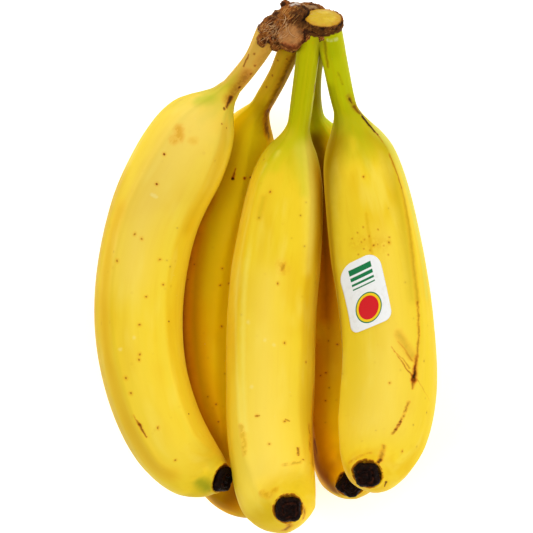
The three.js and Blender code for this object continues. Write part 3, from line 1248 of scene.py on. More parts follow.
@dataclass
class Crown:
    """The pad of dried cork that joins the stalks, with two stubs, torn fibres and a cut face."""

    lumps: dict[str, tuple[Point, Point]]  # middle and half size of each
    broken: Stub
    rim: Stub
    face: Stub
    strand_runs: tuple[tuple[tuple[float, float], ...], ...]  # long loose strands, seen from above
    voxel: float = 0.32
    lump_height: float = 0.45
    thread_height: float = 0.3
    deepest: float = 0.5  # a hollow this deep gets the darkest painted shade
    strand_count: int = 38
    strand_radius: float = 0.13
    strand_spread_x: tuple[float, float] = (-0.4, 1.0)  # where they start, as shares of the torn lobe
    strand_spread_y: tuple[float, float] = (-0.5, 0.9)
    strand_heading: tuple[float, float] = (195, 255)  # degrees
    strand_bend: float = 0.22  # radians that a strand bends at each step, either way
    strand_waver: float = 0.12
    strand_steps: tuple[int, int] = (5, 9)
    strand_step: float = 0.75
    strand_thickness: tuple[float, float] = (0.45, 1.1)  # against its radius
    strand_lift: tuple[float, float] = (0.05, 0.45)
    long_strand: tuple[float, float] = (1.7, 0.55)  # its thickness against the others, and its lift
    surface: BVHTree = field(init=False)

    def cork_mesh(self) -> bmesh.types.BMesh:
        """Grows the lumps and the broken stub together, and roughens them.

        Returns:
            The mesh.
        """
        mesh = bmesh.new()
        for middle, half in self.lumps.values():
            place = Matrix.Translation(middle) @ Matrix.Diagonal((*half, 1))
            bmesh.ops.create_icosphere(mesh, subdivisions=4, radius=1, matrix=place)
        for stub in (self.broken, self.rim):
            shape = mesh_data("stub", stub.body())
            mesh.from_mesh(shape)
            bpy.data.meshes.remove(shape)
        body = linked("crown_lumps", mesh_data("crown_lumps", mesh))
        remesh = body.modifiers.new("grown_together", "REMESH")
        remesh.mode, remesh.voxel_size = "VOXEL", self.voxel
        grown = evaluated_mesh(body)
        self.roughen(grown)
        self.surface = BVHTree.FromBMesh(grown)
        return grown

    def roughen(self, mesh: bmesh.types.BMesh) -> None:
        """Raises lumps and threads on the cork, and tags how hollow each point is.

        Args:
            mesh: The cork as it has grown together.
        """
        hollow = mesh.verts.layers.float.new("hollow")
        bmesh.ops.smooth_vert(mesh, verts=mesh.verts, factor=0.5, use_axis_x=True, use_axis_y=True,
                              use_axis_z=True)
        mesh.normal_update()
        lean = Matrix.Rotation(THREAD_LEAN[2], 3, "Z") @ Matrix.Rotation(THREAD_LEAN[1], 3, "Y")
        disc = Vector(self.broken.at)
        for vert in mesh.verts:
            lumps = noise.fractal(vert.co * 0.42, 0.7, 2.1, 4)
            leaning = lean @ vert.co
            thread = noise.noise(Vector((leaning.x * 0.22, leaning.y * 1.9, leaning.z * 1.9)))
            calm = smoothstep((vert.co - disc).length, 3, 6)
            height = self.lump_height * lumps * lerp(0.5, 1, calm) + self.thread_height * thread * calm
            vert.co += vert.normal * height
            vert[hollow] = min(1.0, max(0.0, -height / self.deepest))

    def on_top(self, x: float, y: float, height: float = 0.0) -> Vector:
        """Returns the point at a height above the cork, straight over (x, y)."""
        hit = self.surface.ray_cast(Vector((x, y, 200)), Vector((0, 0, -1)))[0]
        return (hit or Vector((x, y, self.broken.at[2]))) + Vector((0, 0, height))

    def cork(self, finish: CorkFinish) -> bpy.types.Object:
        """Builds the cork pad with its stubs.

        Args:
            finish: The cork finish.

        Returns:
            The piece.
        """
        mesh = self.cork_mesh()
        material = finish.material(lambda at: (self.on_top(*at) + DESIGN_SHIFT) * MM)
        return finished("crown_cork", mesh, material, Slot.CORK, ["crown"])

    def cut_face(self, finish: CutFleshFinish) -> bpy.types.Object:
        """Builds the cut face, a low dome inside the rim.

        Args:
            finish: The finish of moist flesh.

        Returns:
            The piece.
        """
        mesh = turned(self.face.outline, self.face.sides)
        bmesh.ops.subdivide_edges(mesh, edges=mesh.edges, cuts=1, use_grid_fill=True)
        width = max(radius for radius, _ in self.face.outline)
        grown = mesh.verts.layers.float_vector.new("grown")
        edge = mesh.verts.layers.float.new("ridge")
        for vert in mesh.verts:
            vert[grown] = vert.co * MM
            vert[edge] = math.hypot(vert.co.x, vert.co.y) / width
            vert.co.z += 0.25 * noise.fractal(vert.co * 0.35, 0.6, 2.0, 3)
        mesh.transform(self.face.stand())
        return finished("crown_cut_face", mesh, finish.material(), Slot.CORK)

    def fibres(self, finish: CorkFinish, rng: Random) -> bpy.types.Object:
        """Lays torn strands over the lobe, lifted off it between their ends.

        Args:
            finish: The cork finish, which has the colour of its strands.
            rng: Scatters the short strands.

        Returns:
            The piece.
        """
        curve = bpy.data.curves.new("strands", "CURVE")
        curve.dimensions, curve.bevel_depth, curve.bevel_resolution = "3D", self.strand_radius, 1
        curve.use_fill_caps = True
        middle, half = self.lumps["torn_lobe"]
        runs = [(run, *self.long_strand) for run in self.strand_runs]
        for _ in range(self.strand_count):
            x = middle[0] + half[0] * rng.uniform(*self.strand_spread_x)
            y = middle[1] + half[1] * rng.uniform(*self.strand_spread_y)
            heading, points = math.radians(rng.uniform(*self.strand_heading)), [(x, y)]
            bend = rng.uniform(-self.strand_bend, self.strand_bend)
            for _ in range(rng.randint(*self.strand_steps)):
                x, y = x + self.strand_step * math.cos(heading), y + self.strand_step * math.sin(heading)
                heading += bend + rng.uniform(-self.strand_waver, self.strand_waver)
                points.append((x, y))
            runs.append((points, rng.uniform(*self.strand_thickness), rng.uniform(*self.strand_lift)))
        for run, thickness, lift in runs:
            spline = curve.splines.new("NURBS")
            spline.points.add(len(run) - 1)
            spline.use_endpoint_u, spline.order_u, spline.resolution_u = True, 3, 3
            for i, ((x, y), point) in enumerate(zip(run, spline.points)):
                share = i / (len(run) - 1)
                bow = math.sin(math.pi * share)
                point.co = (*self.on_top(x, y, lift * bow), 1)
                point.radius = thickness * (0.35 + 0.65 * bow)
        mesh = evaluated_mesh(linked("strands", curve))
        return finished("crown_fibres", mesh, finish.strand_material(), Slot.CORK)


# ------------------------------------------------------------------ label
@dataclass
class Label:
    """A fruit label: a rounded rectangle of film that follows the skin of one finger."""

    finger: Banana
    distance: float  # millimetres along the finger to the label's middle
    angle: float
    turn: float
    lean: float  # how much its top and bottom slope more than its sides do
    width: float = 20.0
    height: float = 29.6
    top_corner: float = 7.0
    bottom_corner: float = 3.4
    thick: float = 0.2
    clearance: float = 0.08
    columns: int = 48
    rows: int = 76

    def half_width(self, y: float) -> float:
        """Returns half the label's width at a height from its middle.

        Args:
            y: Millimetres above the label's middle.

        Returns:
            Half the width in millimetres.
        """
        corner = self.top_corner if y > 0 else self.bottom_corner
        over = abs(y) - (self.height / 2 - corner)
        if over <= 0:
            return self.width / 2
        return self.width / 2 - corner + math.sqrt(max(0.0, corner ** 2 - over ** 2))

    def build(self, finish: PaperFinish) -> bpy.types.Object:
        """Builds the label: a flat grid cut to its outline, thickened and bent onto the skin.

        Args:
            finish: The printed finish.

        Returns:
            The piece.
        """
        mesh = bmesh.new()
        bmesh.ops.create_grid(mesh, x_segments=self.columns, y_segments=self.rows, size=1)
        for vert in mesh.verts:
            y = self.height / 2 * math.sin(math.pi / 2 * vert.co.y)
            vert.co = Vector((vert.co.x * self.half_width(y), y, 0))
        bmesh.ops.recalc_face_normals(mesh, faces=mesh.faces)
        bmesh.ops.solidify(mesh, geom=mesh.faces, thickness=self.thick)
        bmesh.ops.recalc_face_normals(mesh, faces=mesh.faces)
        grown = mesh.verts.layers.float_vector.new("grown")
        lowest = min(vert.co.z for vert in mesh.verts)
        radius = self.finger.radius(self.distance)
        for vert in mesh.verts:
            vert[grown] = Vector((vert.co.x, vert.co.y, 0)) * MM
            flat = Matrix.Rotation(math.radians(self.turn), 2) @ vert.co.xy
            above = self.clearance + vert.co.z - lowest
            round_by = math.degrees(flat.x / radius)
            distance = self.distance - flat.y - self.lean * flat.x
            vert.co = self.finger.point(self.angle + round_by, distance, above)
        return finished("fruit_label", mesh, finish.material(), Slot.PAPER, ["label"])


# ------------------------------------------------------------------ studio
@dataclass(frozen=True)
class Studio:
    """The white floor, the soft lights and the camera over the hand, in metres."""

    floor_width: float = 8.0
    floor_drop: float = 0.0002
    sky_strength: float = 0.02
    sky_colour: str = "#FFFFFF"
    lights: tuple[tuple[str, float, float, float], ...] = (  # name, azimuth, elevation and watts
        ("key_left", 180, 58, 8.4), ("top_edge", 90, 26, 10.4), ("low_corner", 315, 26, 8.9),
        ("fill_right", 0, 58, 3.8), ("edge_left", 180, 26, 3.3), ("edge_right", 0, 26, 2.9))
    light_distance: float = 1.4
    light_width: float = 0.8
    focus_height: float = 0.050  # the plane that the framing is worked out in
    camera_distance: float = 1.1
    pixels_across: int = 533
    pixel_width: float = 0.0004  # in the focus plane
    sensor: float = 36.0

    def floor(self, finish: FloorFinish) -> bpy.types.Object:
        """Lays the floor card under the hand.

        Args:
            finish: The finish of the panel.

        Returns:
            The floor, which is stage.
        """
        mesh = bmesh.new()
        bmesh.ops.create_grid(mesh, x_segments=8, y_segments=8, size=self.floor_width / 2)
        mesh.transform(Matrix.Translation((0, 0, -self.floor_drop)))
        data = mesh_data("floor_card", mesh)
        data.materials.append(finish.material())
        floor = linked("floor_card", data)
        return floor

    def softbox(self, name: str, azimuth: float, elevation: float, power: float) -> bpy.types.Object:
        """Hangs a square soft light that faces the hand.

        Args:
            name: The light's name.
            azimuth: Degrees from the right, round by the crown's end.
            elevation: Degrees above the floor.
            power: Its power in watts.

        Returns:
            The light.
        """
        lamp = bpy.data.lights.new(name, "AREA")
        lamp.shape, lamp.size, lamp.energy = "SQUARE", self.light_width, power
        holder = linked(name, lamp)
        turn, rise = math.radians(azimuth), math.radians(elevation)
        way = Vector((math.cos(rise) * math.cos(turn), math.cos(rise) * math.sin(turn), math.sin(rise)))
        at = Vector((0, 0, self.focus_height)) + way * self.light_distance
        holder.matrix_world = Matrix.Translation(at) @ way.to_track_quat("Z", "Y").to_matrix().to_4x4()
        return holder

    def sky(self) -> None:
        """Fills the room with even white light."""
        world = bpy.data.worlds.new("white_room")
        world.use_nodes = True
        background = world.node_tree.nodes["Background"]
        background.inputs["Color"].default_value = linear(self.sky_colour)
        background.inputs["Strength"].default_value = self.sky_strength
        bpy.context.scene.world = world

    def camera(self) -> bpy.types.Object:
        """Hangs the camera straight over the design frame's origin.

        Returns:
            The camera.
        """
        lens = bpy.data.cameras.new("overhead")
        lens.sensor_width, lens.sensor_fit = self.sensor, "HORIZONTAL"
        lens.lens = self.sensor * self.camera_distance / (self.pixels_across * self.pixel_width)
        lens.clip_end = 20
        holder = linked("overhead", lens)
        holder.location = DESIGN_SHIFT * MM + Vector((0, 0, self.focus_height + self.camera_distance))
        bpy.context.scene.camera = holder
        return holder


# ------------------------------------------------------------------ the hand
def dots(*places: tuple[float, float]) -> tuple[Mark, Mark]:
    """Returns brown dots 0.8 mm across, in amber halos, at (millimetres along, degrees round)."""
    halo = Mark(places, 1.7, "#D8980A", 0.45, 1.5, joined=False)
    return halo, Mark(places, 0.8, "#9A5A0A", 0.8, 0.5, joined=False)


CENTRE_MARKS = (
    # painted highlights: the front is paler toward the tip, and so are the upper right and lower left
    # flanks
    Mark(((190, -8), (104, -8)), 26, "#FDDD5C", 0.8, 24, taper=0.8, plain=True),
    Mark(((50, 42), (72, 46), (98, 46)), 8, "#FFE85E", 0.8, 8, taper=0.6, plain=True),
    Mark(((198, -52), (150, -46)), 12, "#FFE24A", 0.5, 12, taper=0.7, plain=True),
    # painted highlight: the double light line of the left ridge, raised a little; painted olive shade
    # beside it; and greenish tints on the neck
    Mark(((52, -36), (99, -39), (146, -36), (168, -32)), 1.6, "#FAE66A", 0.4, 2, depth=-0.05),
    Mark(((58, -48), (86, -54), (114, -52), (146, -44), (168, -38)), 1.6, "#FAE66A", 0.35, 2, depth=-0.05),
    Mark(((71, -33), (79, -34)), 2.6, "#D0A808", 0.4, 2.6),
    Mark(((45, 21), (56, 28), (66, 30)), 5, "#C2C406", 0.45, 6, taper=0.6, plain=True),
    Mark(((48, -20), (58, -26)), 4, "#C8CC08", 0.35, 5, plain=True),
    # brown dots in amber halos
    *dots((68, -24), (105, 5), (130, 18), (138, 51), (162, -17), (165, 21), (176, -2), (187, 48)),
    # a mottled smudge on the front, and rubbed amber patches toward the tip
    Mark(((97, 8), (99, 11)), 4.4, "#E0A41C", 0.5, 3.6, broken=0.6),
    Mark(((97, 11), (99, 8)), 1.6, "#B87810", 0.6, 1.4, broken=0.4),
    Mark(((166, -38), (173, -36), (179, -38)), 2.2, "#D8A010", 0.6, 1.8, broken=0.5),
    Mark(((191, 23), (190, 34), (189, 43)), 2.4, "#C08A10", 0.55, 2, broken=0.8),
    Mark(((179, 39), (184, 40)), 1.1, "#8A5008", 0.8, 0.8, broken=0.3),
    Mark(((164, 22), (165, 27)), 0.8, "#A8700A", 0.7, 0.6),
    Mark(((162, -19), (162, -14)), 0.7, "#A8700A", 0.7, 0.6),
    # painted shade: the lower right edge darkens beside the lower right finger, in a band and a shorter
    # mottled one
    Mark(((150, 88), (166, 85), (184, 80)), 5, "#A05400", 0.6, 4.8),
    Mark(((166, 68), (171, 71), (178, 68)), 2.4, "#B06808", 0.6, 2.2, broken=0.5),
    # a rubbed amber patch near the tip
    Mark(((204, -24), (208, -12), (208, 10)), 2.6, "#D89A0C", 0.65, 2.2, broken=0.5),
    # the notch on the stalk, and the rust beside the flower end
    Mark(((23, 78), (26, 80)), 1.3, "#5A3206", 0.8, 0.8),
    Mark(((212, -128), (209, -146), (206, -143)), 2.2, "#8A420A", 0.8, 2, broken=0.4),
    Mark(((211, 142), (209, 157), (208, 166)), 2.2, "#9A560C", 0.75, 2, broken=0.4),
    Mark(((129, -8), (131, 4), (149, -25), (122, -31)), 1.4, "#FAEBA0", 0.3, 1.3, joined=False),
)

LEFT_MARKS = (
    # painted highlights: the shoulder and the belly are paler; painted shade: the outer edge is deeper, and
    # so is a band down the right shoulder
    Mark(((46, -94), (112, -88)), 28, "#F4D46C", 0.65, 28, taper=0.7, plain=True),
    Mark(((188, -82), (110, -80)), 22, "#FBDA50", 0.4, 22, taper=0.7, plain=True),
    Mark(((84, -166), (120, -168), (176, -156)), 14, "#CC9200", 0.45, 14, taper=0.5, plain=True),
    Mark(((42, -30), (66, -26), (88, -30)), 6, "#D49E04", 0.4, 8, taper=0.4, plain=True),
    # painted highlight: the light band of the inner ridge; painted shade: the deeper yellow of the outer
    # side; then a green patch on the neck
    Mark(((56, -60), (83, -50), (121, -47), (159, -43), (177, -39), (198, -50)), 3.2, "#F9E252", 0.2, 3.4),
    Mark(((90, -128), (144, -128), (166, -123), (192, -116)), 7, "#E6A602", 0.45, 6.8),
    Mark(((38, -124), (35, -112)), 5, "#A6B618", 0.5, 4.8, plain=True),
    # brown dots in amber halos
    *dots((61, -104), (73, -93), (96, -94), (97, -84), (108, -108), (104, -56), (115, -47), (121, -66),
          (133, -74), (145, -77), (147, -79), (153, -100), (159, -99), (175, -80), (190, -87)),
    # the strongest spots are nearly black at the middle
    Mark(((61, -104), (73, -93), (132, -35), (176, -29)), 0.9, "#5A2404", 0.85, 0.5, joined=False),
    # a mottled orange bruise and a fainter one on the shoulder
    Mark(((50, -106), (52, -99), (54, -103)), 3.6, "#E09A18", 0.7, 3, broken=0.5),
    Mark(((51, -82), (50, -78)), 2.6, "#E8B030", 0.5, 2.4, broken=0.4),
    # a slanted scratch near the tip
    Mark(((171, -102), (167, -104)), 1, "#A05A0A", 0.85, 0.8, taper=0.8),
    Mark(((171, -102), (176, -100)), 1.2, "#7A3A06", 0.9, 0.8, taper=0.6, depth=0.1),
    Mark(((78, -92), (78, -86)), 1.2, "#FAEBA0", 0.4, 1.2),
    Mark(((138, -82), (142, -101)), 1.3, "#FAEBA0", 0.3, 1.2, joined=False),
    # brown smears and spots of the stalk and neck, and the green skin by the flower
    Mark(((19, -66), (25, -60), (31, -56)), 4.2, "#965410", 0.75, 4, broken=0.2),
    Mark(((4, -60), (9, -56), (13, -54)), 3.2, "#B8782A", 0.5, 3, broken=0.3),
    Mark(((30, -56), (34, -50)), 1.8, "#3E1A04", 0.9, 1.2, taper=0.4),
    Mark(((35, -56), (25, -50)), 1.3, "#4A2206", 0.85, 0.7, joined=False),
    Mark(((5, -102), (10, -96), (14, -60), (18, -51)), 1, "#7A4410", 0.75, 0.8, joined=False),
    Mark(((12, -120), (15, -112), (17, -106)), 0.8, "#6E3C10", 0.8, 0.7),
    Mark(((40, -47), (41, -28)), 0.9, "#8A4A08", 0.7, 0.7, joined=False),
    Mark(((204, -128), (207, -160)), 4, "#8A961A", 0.65, 3.8, plain=True),
)

RIGHT_MARKS = (
    # painted highlight: the front is paler toward the tip
    Mark(((168, 8), (130, 20), (86, 30)), 26, "#FDDD5C", 0.65, 26, taper=0.8, plain=True),
    # painted shade: darker green at the left of the neck, gold down the left side and olive beside the
    # ridge; painted highlight: a pale right strip
    Mark(((24, -45), (38, -38), (52, -44)), 5, "#8A8402", 0.6, 4.8, plain=True),
    Mark(((46, -44), (62, -46), (86, -50), (142, -62)), 12, "#A27800", 0.85, 11, taper=0.7, plain=True),
    Mark(((46, 64), (66, 62), (82, 59), (100, 55), (112, 53)), 5, "#B08A06", 0.5, 8, taper=0.9, plain=True),
    Mark(((46, 92), (72, 92), (112, 84)), 8, "#DCD450", 0.75, 6, taper=0.7, plain=True),
    # brown in the crease beside the next stalk, and pale smears under the crown
    Mark(((4, -12), (8, -21), (14, -28)), 1.8, "#6E5204", 0.75, 1.6, taper=0.5),
    Mark(((4, 26), (8, 20)), 6, "#9CA404", 0.5, 6, plain=True),
    Mark(((3.2, 6), (3.4, 30), (3.2, 50)), 1.1, "#D8D890", 0.45, 0.9, broken=0.7, plain=True),
    Mark(((75, 11), (92, 10), (111, 8)), 1.4, "#E0AE0C", 0.5, 1.2),
    *dots((60, 18), (88, 14), (88, 36), (179, 65), (147, 19)),
    # a drift of fine amber flecks above the label
    Mark(((84, -14), (82, -6), (86, -2), (85, 3), (89, 0), (90, 8), (84, 10), (88, 20), (82, 24), (89, 28),
         (91, -8), (80, 4), (93, 32), (86, 38)), 0.9, "#B8780C", 0.65, 0.8, joined=False),
    Mark(((86, -10), (88, 26)), 6, "#E2A80C", 0.35, 5, broken=0.7, plain=True),
    # the long rubbed ridge: a thin line from the neck down to the tip
    Mark(((45, 73), (56, 69), (68, 70)), 0.9, "#B0680A", 0.8, 0.8),
    Mark(((68, 70), (83, 66), (100, 61), (114, 59)), 1.3, "#B4820A", 0.6, 1.8),
    Mark(((114, 59), (127, 56), (134, 53), (140, 50)), 0.9, "#9A5A08", 0.75, 1, broken=0.2),
    Mark(((39, 77), (36, 88), (34, 100)), 1.3, "#3A1C08", 0.9, 0.7, taper=0.6),
    Mark(((38, 79), (42, 75), (46, 73)), 1.6, "#20100A", 0.95, 0.7, depth=0.15, taper=0.5),
    Mark(((28, 52), (31, 60), (34, 70)), 2.4, "#9A7410", 0.6, 1.8, broken=0.4),
    Mark(((29, 54), (31, 60)), 1.4, "#4A2A08", 0.85, 0.9, taper=0.5),
    Mark(((33, 68), (36, 76)), 1.4, "#7A4408", 0.8, 0.9),
    Mark(((17, 23), (20, 31), (22, 34)), 1, "#8E8606", 0.6, 0.9, broken=0.4),
    # the rubbed spot low on the ridge, with brush-like scratches that run off it
    Mark(((135, 47), (131, 40), (126, 32)), 3.4, "#B87410", 0.4, 3.4, broken=0.15),
    Mark(((145, 48), (140, 50), (135, 52)), 2.4, "#7A3A06", 0.75, 1.8, taper=0.8),
    Mark(((145, 48), (142, 49), (139, 50)), 1.9, "#2A0E04", 0.95, 1.2, depth=0.15, taper=0.8),
    Mark(((145, 48), (149, 47)), 1.7, "#8A4206", 0.8, 1.3, taper=0.7),
    Mark(((143, 46), (137, 33), (131, 21)), 0.8, "#8A4406", 0.8, 0.8, taper=0.8),
    Mark(((140, 44), (136, 35), (133, 24)), 0.7, "#9A560A", 0.65, 0.8, taper=0.8),
    Mark(((137, 47), (132, 38), (129, 30)), 0.9, "#A8640C", 0.6, 1, taper=0.8),
    Mark(((145, 52), (149, 68), (152, 84)), 0.6, "#C08A18", 0.6, 0.6, taper=0.8),
    Mark(((155, 44), (161, 41), (167, 38), (172, 37), (175, 35)), 1.1, "#9A5A0A", 0.75, 1, broken=0.6),
    Mark(((166, 39), (168, 38), (172, 37)), 1.1, "#5A2C08", 0.8, 0.8, broken=0.4),
    Mark(((195, 58), (189, 50)), 3, "#1E0E08", 0.95, 0.8, taper=0.5),
    Mark(((189, 50), (186, 40), (182, 33)), 2, "#9A560C", 0.7, 1.8, broken=0.3, taper=0.4),
    Mark(((189, 128), (188, 146)), 1, "#3A1806", 0.9, 0.6, taper=0.5),
    Mark(((188, -57), (189, -22), (188, 15)), 1.4, "#D08A10", 0.6, 1.2, broken=0.6),
)

BACK_LEFT_MARKS = (
    # painted light: a long bright yellow wedge on the side that shows between its neighbours; painted
    # shade: deep orange down the side under the neighbour, along the lower body and at the tip
    Mark(((46, -30), (66, -50), (90, -66), (116, -70)), 15, "#FFE614", 0.95, 15, taper=0.5, plain=True),
    Mark(((74, -98), (90, -102), (113, -103), (136, -98), (162, -86), (184, -72)), 8.6, "#843600", 0.95, 8),
    Mark(((190, -50), (162, -62), (130, -76), (92, -86)), 10, "#C07400", 0.55, 10, taper=0.7),
    Mark(((203, -112), (207, -80)), 14, "#8A4400", 0.8, 13),
    # brown dots in amber halos
    *dots((60, -43), (60, -33), (106, -86), (113, -93), (105, -46), (113, -45), (112, -33), (132, -38),
          (166, -47), (174, -47)),
    # the scar near the neck ends in a dark pit
    Mark(((61, -61), (57, -61)), 1.1, "#A04008", 0.85, 0.8, taper=0.5),
    Mark(((61.5, -61),), 1.5, "#1E0A04", 0.95, 0.6),
    Mark(((60, -43),), 1.3, "#9A4208", 0.8, 0.9),
    Mark(((60, -33),), 1, "#3A1404", 0.85, 0.6),
    # brown streaks and spots on the stalk and neck
    Mark(((8, -95), (5, -58), (16, -91), (22, -88)), 1, "#6A3A0A", 0.75, 0.8, joined=False),
    Mark(((4, -35), (16, -31), (30, -8), (42, 16)), 3.6, "#7A4606", 0.75, 3.4, broken=0.3),
    Mark(((31, -36), (35, -22), (40, -2)), 6, "#9A6404", 0.4, 6, broken=0.2, plain=True),
    Mark(((33, 10), (44, 24)), 4, "#6A3A04", 0.7, 4, broken=0.2),
)

BACK_RIGHT_MARKS = (
    # painted shade: where two fingers cover it, it is darkened to a deep orange
    Mark(((44, -6), (54, -8), (64, -10)), 7, "#664600", 0.8, 6.5, plain=True),
    Mark(((66, -14), (98, -16), (126, -20)), 11, "#804400", 0.85, 10.5, taper=0.8),
    Mark(((104, -20), (146, -20)), 9, "#D28A00", 0.2, 9, taper=0.7, plain=True),
    Mark(((202, -58), (178, -48), (140, -38)), 13, "#AE5A00", 0.75, 12, taper=0.8),
    Mark(((160, -64), (178, -64), (190, -68), (202, -80), (206, -110)),
         5.4, "#7C3600", 0.75, 5, plain=True),
    # brown dots, and a short dark dash
    *dots((139, -7), (152, -25), (153, -33), (166, -27)),
    Mark(((185, -54), (191, -57)), 2, "#4E1A00", 0.75, 1.8, taper=0.5, plain=True),
)

CROWN_MARKS = (
    # the broken stub is lighter, with a red-brown lower edge; painted shade darkens the fold that it lies
    # in
    Mark(((9.2, 88.9),), 8.4, "#BC844C", 0.75, 4, broken=0.35, plain=True),
    Mark(((13.4, 86.6), (12.2, 84.9), (9.6, 84.2), (6.6, 85.2)), 2.4, "#5A220A", 0.8, 1.6),
    Mark(((14.6, 91), (14.9, 88.4), (13.8, 85.4), (10.6, 83.4)), 1.1, "#22120B", 0.9, 0.7),
    # the side beside the cut face is burnt dark, most of all along the face
    Mark(((19, 100.4), (14.4, 99.6), (12.8, 97), (13.6, 94)),
         4.4, "#2C1B10", 0.8, 2.6, broken=0.3, plain=True),
    Mark(((16.6, 98.8), (15, 96.6), (14.4, 95)), 1.8, "#17110F", 0.9, 0.9, plain=True),
    # the bark round the face is dark brown, and darker still along both of its edges
    Mark(((14.6, 93.2), (18.5, 91.4), (22, 90.6), (25.5, 90.8), (29, 92.6)),
         4, "#52300F", 0.75, 1.6, broken=0.3, plain=True),
    Mark(((14.6, 95.2), (17.5, 93), (22.1, 91.7), (27.2, 92.1), (29.4, 94.6)),
         1.2, "#2A1408", 0.85, 0.8, plain=True),
    Mark(((15.2, 90.8), (18.5, 89.8), (21.7, 89.2), (25, 89.4), (28.3, 90.2)),
         1.6, "#2A1408", 0.8, 1, plain=True),
    # the far edge of the cut has dried pale
    Mark(((30, 95), (28.4, 99), (24, 101.6)), 2, "#D6BC6A", 0.8, 1.2, plain=True),
    # a dry tan bract and a whitish scrap behind, and the dark knob
    Mark(((13, 102), (19, 100.9)), 1.8, "#B48C60", 0.8, 1, plain=True),
    Mark(((9.9, 101.4), (12.2, 101.8)), 1.9, "#E6E2DA", 0.7, 1.2, broken=0.3, plain=True),
    Mark(((6.4, 101.8),), 2.8, "#1A0F0A", 0.9, 1.2),
    Mark(((0.4, 87.2), (2.8, 88.6)), 2.2, "#150C08", 0.9, 1.2, joined=False),
)


FLOWER_TURNS = {"right": 48.0}  # degrees, where a flower end is turned otherwise


def bananas() -> list[Banana]:
    """Returns the hand's five fingers.

    Returns:
        The centre, left and right fingers of the upper row, then the two of the lower.
    """
    centre = Banana(
        name="centre", girth=18.9, stalk=39, neck=1, hollow=(0, 0, 1), roll=-3,
        axis=((17.4, 92, 84.6), (15.5, 78, 77), (14, 65.5, 69.5), (12.3, 54, 63.5), (9, 40, 58.5),
              (5.5, 14.5, 53), (2.4, -13.5, 49.5), (1.5, -45, 49), (1.5, -68, 52), (5.2, -92, 63.5),
              (8.3, -94.2, 78)),
        twist=((143, 0), (168, 3), (183, 9), (198, 18)), ridges=(-41, 41, 112, 180, 250),
        taper=((0, 0.36), (3, 0.48), (8, 0.65), (14, 0.8), (23, 0.89), (36, 0.935), (50, 0.97), (75, 1)),
        shoulder=((0, 0), (4, 0.02), (9, 0.17), (14, 0.4), (20, 0.6), (28, 0.76), (38, 0.86), (50, 0.94),
                  (65, 1)),
        finish=PeelFinish("centre", neck="#C0BA06", stalk="#BAB806", green_run=28, tip="#E2B60C",
                          tip_strength=0.25, shelter_strength=0.15, marks=CENTRE_MARKS),
        seed=1)
    left = Banana(
        name="left", girth=19.3, stalk=27, stalk_flare=1.3, neck=0.75, hollow=(0.97, 0, 0.26), roll=0,
        axis=((1.2, 92, 76.3), (-5.1, 80.9, 71), (-15.2, 68.8, 66.5), (-21.8, 61.1, 63.5),
              (-32.2, 43.8, 57.5), (-44.2, 19.7, 51), (-50.4, -14, 47.5), (-47.5, -45, 47.5),
              (-38.3, -68.6, 48), (-28.2, -80.2, 49), (-22, -83.8, 49.5), (-18.6, -84.5, 52.5)),
        twist=((70, 0), (120, 2), (160, 6)),
        shoulder=((0, 0), (4, 0.06), (8, 0.13), (13, 0.3), (18, 0.5), (24, 0.71), (32, 0.865), (42, 0.965),
                  (54, 1.015), (94, 1)),
        taper=((0, 0.36), (3, 0.46), (8, 0.62), (14, 0.745), (23, 0.845), (36, 0.905), (55, 0.94),
               (80, 0.985), (100, 1)),
        finish=PeelFinish("left", neck="#B8AE10", stalk="#D6A844", green_run=24, tip="#C2AC18",
                          tip_strength=0.4, marks=LEFT_MARKS),
        seed=2)
    right = Banana(
        name="right", girth=19.7, stalk=33, neck=1, hollow=(-0.34, 0, 0.94), roll=6,
        axis=((23.7, 92, 84.6), (26.8, 79, 79), (30.1, 65, 72), (34.6, 51, 67), (39.3, 31, 62.5),
              (43.6, 7.5, 58.5), (47.8, -20.5, 56.5), (48.6, -45, 57), (46, -65, 61), (41.7, -78.5, 70),
              (39.5, -80.5, 78)),
        twist=((2, 4), (22, 10), (38, 22), (48, 19), (62, 17), (92, 15), (107, 12), (122, 10), (137, 5),
               (152, -2), (167, -9)),
        ridges=(-60, 45, 112, 180, 242), stalk_radius=5.1,
        shoulder=((0, 0), (4, 0.06), (9, 0.24), (14, 0.46), (20, 0.66), (28, 0.79), (38, 0.88), (50, 0.95),
                  (65, 1)),
        finish=PeelFinish("right", neck="#ACAA04", stalk="#BCBE08", green_run=27, tip="#E6AE0C",
                          tip_strength=0.3, shelter_strength=0.3, marks=RIGHT_MARKS),
        seed=3)
    back_left = Banana(
        name="back_left", girth=18.4, stalk=31, neck=1, hollow=(0.76, 0, 0.65), roll=0,
        axis=((10, 88, 69), (5, 76.5, 58.5), (-0.5, 67, 52), (-6.5, 57, 44), (-14, 28, 26.5),
              (-18.5, 5, 19.4), (-21.5, -20, 16.8), (-21.5, -54.5, 18.5), (-14.8, -83.5, 23.5),
              (-8, -93, 28), (-3, -97, 33)),
        finish=PeelFinish("back_left", neck="#D6BA0C", stalk="#D4AE20", green_run=22, tip="#9A5204",
                          tip_strength=0.5, ripe="#FFDA06", deep="#F6C002", pale="#FFE22E",
                          shelter_strength=0.2, marks=BACK_LEFT_MARKS),
        seed=4)
    back_right = Banana(
        name="back_right", girth=18.4, stalk=35.5, neck=1, hollow=(-0.1, 0, 1), roll=0,
        axis=((19, 88, 72), (17.5, 77, 62.5), (17.5, 66, 53.5), (19.5, 56.5, 45), (24.5, 42, 33),
              (29, 13, 20.5), (31.5, -18, 17.3), (33, -50, 19.5), (33.5, -70, 27), (33.8, -82.5, 38.5),
              (33.6, -86.5, 50)),
        finish=PeelFinish("back_right", neck="#C0D00A", stalk="#A09408", green_run=26, tip="#A87808",
                          tip_strength=0.4, ripe="#FFD406", deep="#F6BE02", pale="#FFDE2A",
                          shelter_strength=0.25, marks=BACK_RIGHT_MARKS),
        seed=5)
    return [centre, left, right, back_left, back_right]


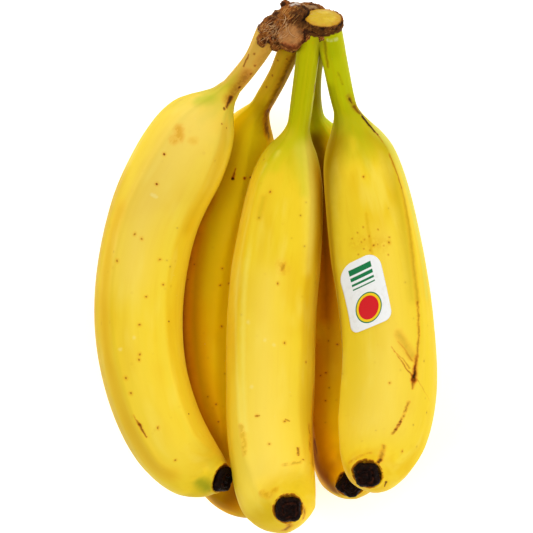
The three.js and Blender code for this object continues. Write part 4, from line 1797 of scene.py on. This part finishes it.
def crown_parts() -> tuple[Crown, CorkFinish]:
    """Returns the crown and its finish.

    Returns:
        The crown, and the cork finish with its marks.
    """
    cut_at, cut_axis = (21.9, 96.2, 85.2), (0.05, 0.77, 0.64)
    crown = Crown(
        lumps={
            "pad": ((13, 91, 77), (13.5, 7, 11.5)),
            "torn_lobe": ((3.3, 92.1, 80.5), (6.1, 6.0, 6.5)),
            "seam": ((3.6, 86.8, 77), (2.8, 2.8, 4)),
            "cut_side": ((11, 97.3, 80), (6.8, 5.4, 8.5)),
            "cut_back": ((16, 99.4, 76.5), (7, 3.6, 5.6)),
            "fold": ((4.9, 97.1, 80), (2.7, 2.8, 4)),
            "torn_edge": ((-1.8, 88.4, 79), (2.1, 2.7, 3.5)),
            "bract_knob": ((7.3, 101.9, 80.5), (2.1, 1.9, 2)),
        },
        broken=Stub((9.2, 88.9, 88), (-0.1, 0.16, 0.98), 1, (
            (0, -8), (4.5, -8), (4.9, -2), (4.9, 0.1), (4.5, 0.7), (3.9, 0.55), (3.0, 0.2), (1.4, 0.3),
            (0, 0.5))),
        rim=Stub(cut_at, cut_axis, 0.86, (
            (0, -10), (6.8, -10), (7.6, -5), (8.0, -1.4), (7.9, -0.2), (7.55, 0.25), (7.15, 0),
            (7.05, -0.8), (0, -0.8))),
        face=Stub(cut_at, cut_axis, 0.86, (
            (0, -1.2), (6.95, -1.2), (7.3, -0.3), (7.05, 0.1), (6, 0.35), (4.8, 0.6), (3.5, 0.85),
            (1.7, 1.1), (0, 1.2))),
        strand_runs=(((6.4, 97.8), (7.4, 96.9), (7.4, 95.4), (6.6, 93.8), (5.6, 92.4), (4.6, 91.2)),))
    finish = CorkFinish(marks=CROWN_MARKS)
    return crown, finish


def main() -> None:
    """Builds the hand and its studio."""
    logging.basicConfig(level=logging.INFO, format="%(name)s %(message)s")
    bpy.context.scene.view_settings.view_transform = "Standard"
    studio = Studio()
    studio.camera()
    studio.sky()
    for name, azimuth, elevation, power in studio.lights:
        studio.softbox(name, azimuth, elevation, power)
    studio.floor(FloorFinish())
    hand = Hand(bananas())
    dried = DriedFlowerFinish().material()
    for finger, skin in zip(hand.fingers, hand.skins()):
        finger.peel(skin)
        FlowerEnd(finger, turn=FLOWER_TURNS.get(finger.name, FlowerEnd.turn)).build(dried)
    crown, cork = crown_parts()
    crown.cork(cork)
    crown.cut_face(CutFleshFinish())
    crown.fibres(cork, Random(11))
    carrier = next(finger for finger in hand.fingers if finger.name == "right")
    Label(carrier, distance=107.4, angle=-7, turn=4, lean=0.23).build(PaperFinish())


if __name__ == "__main__":
    main()
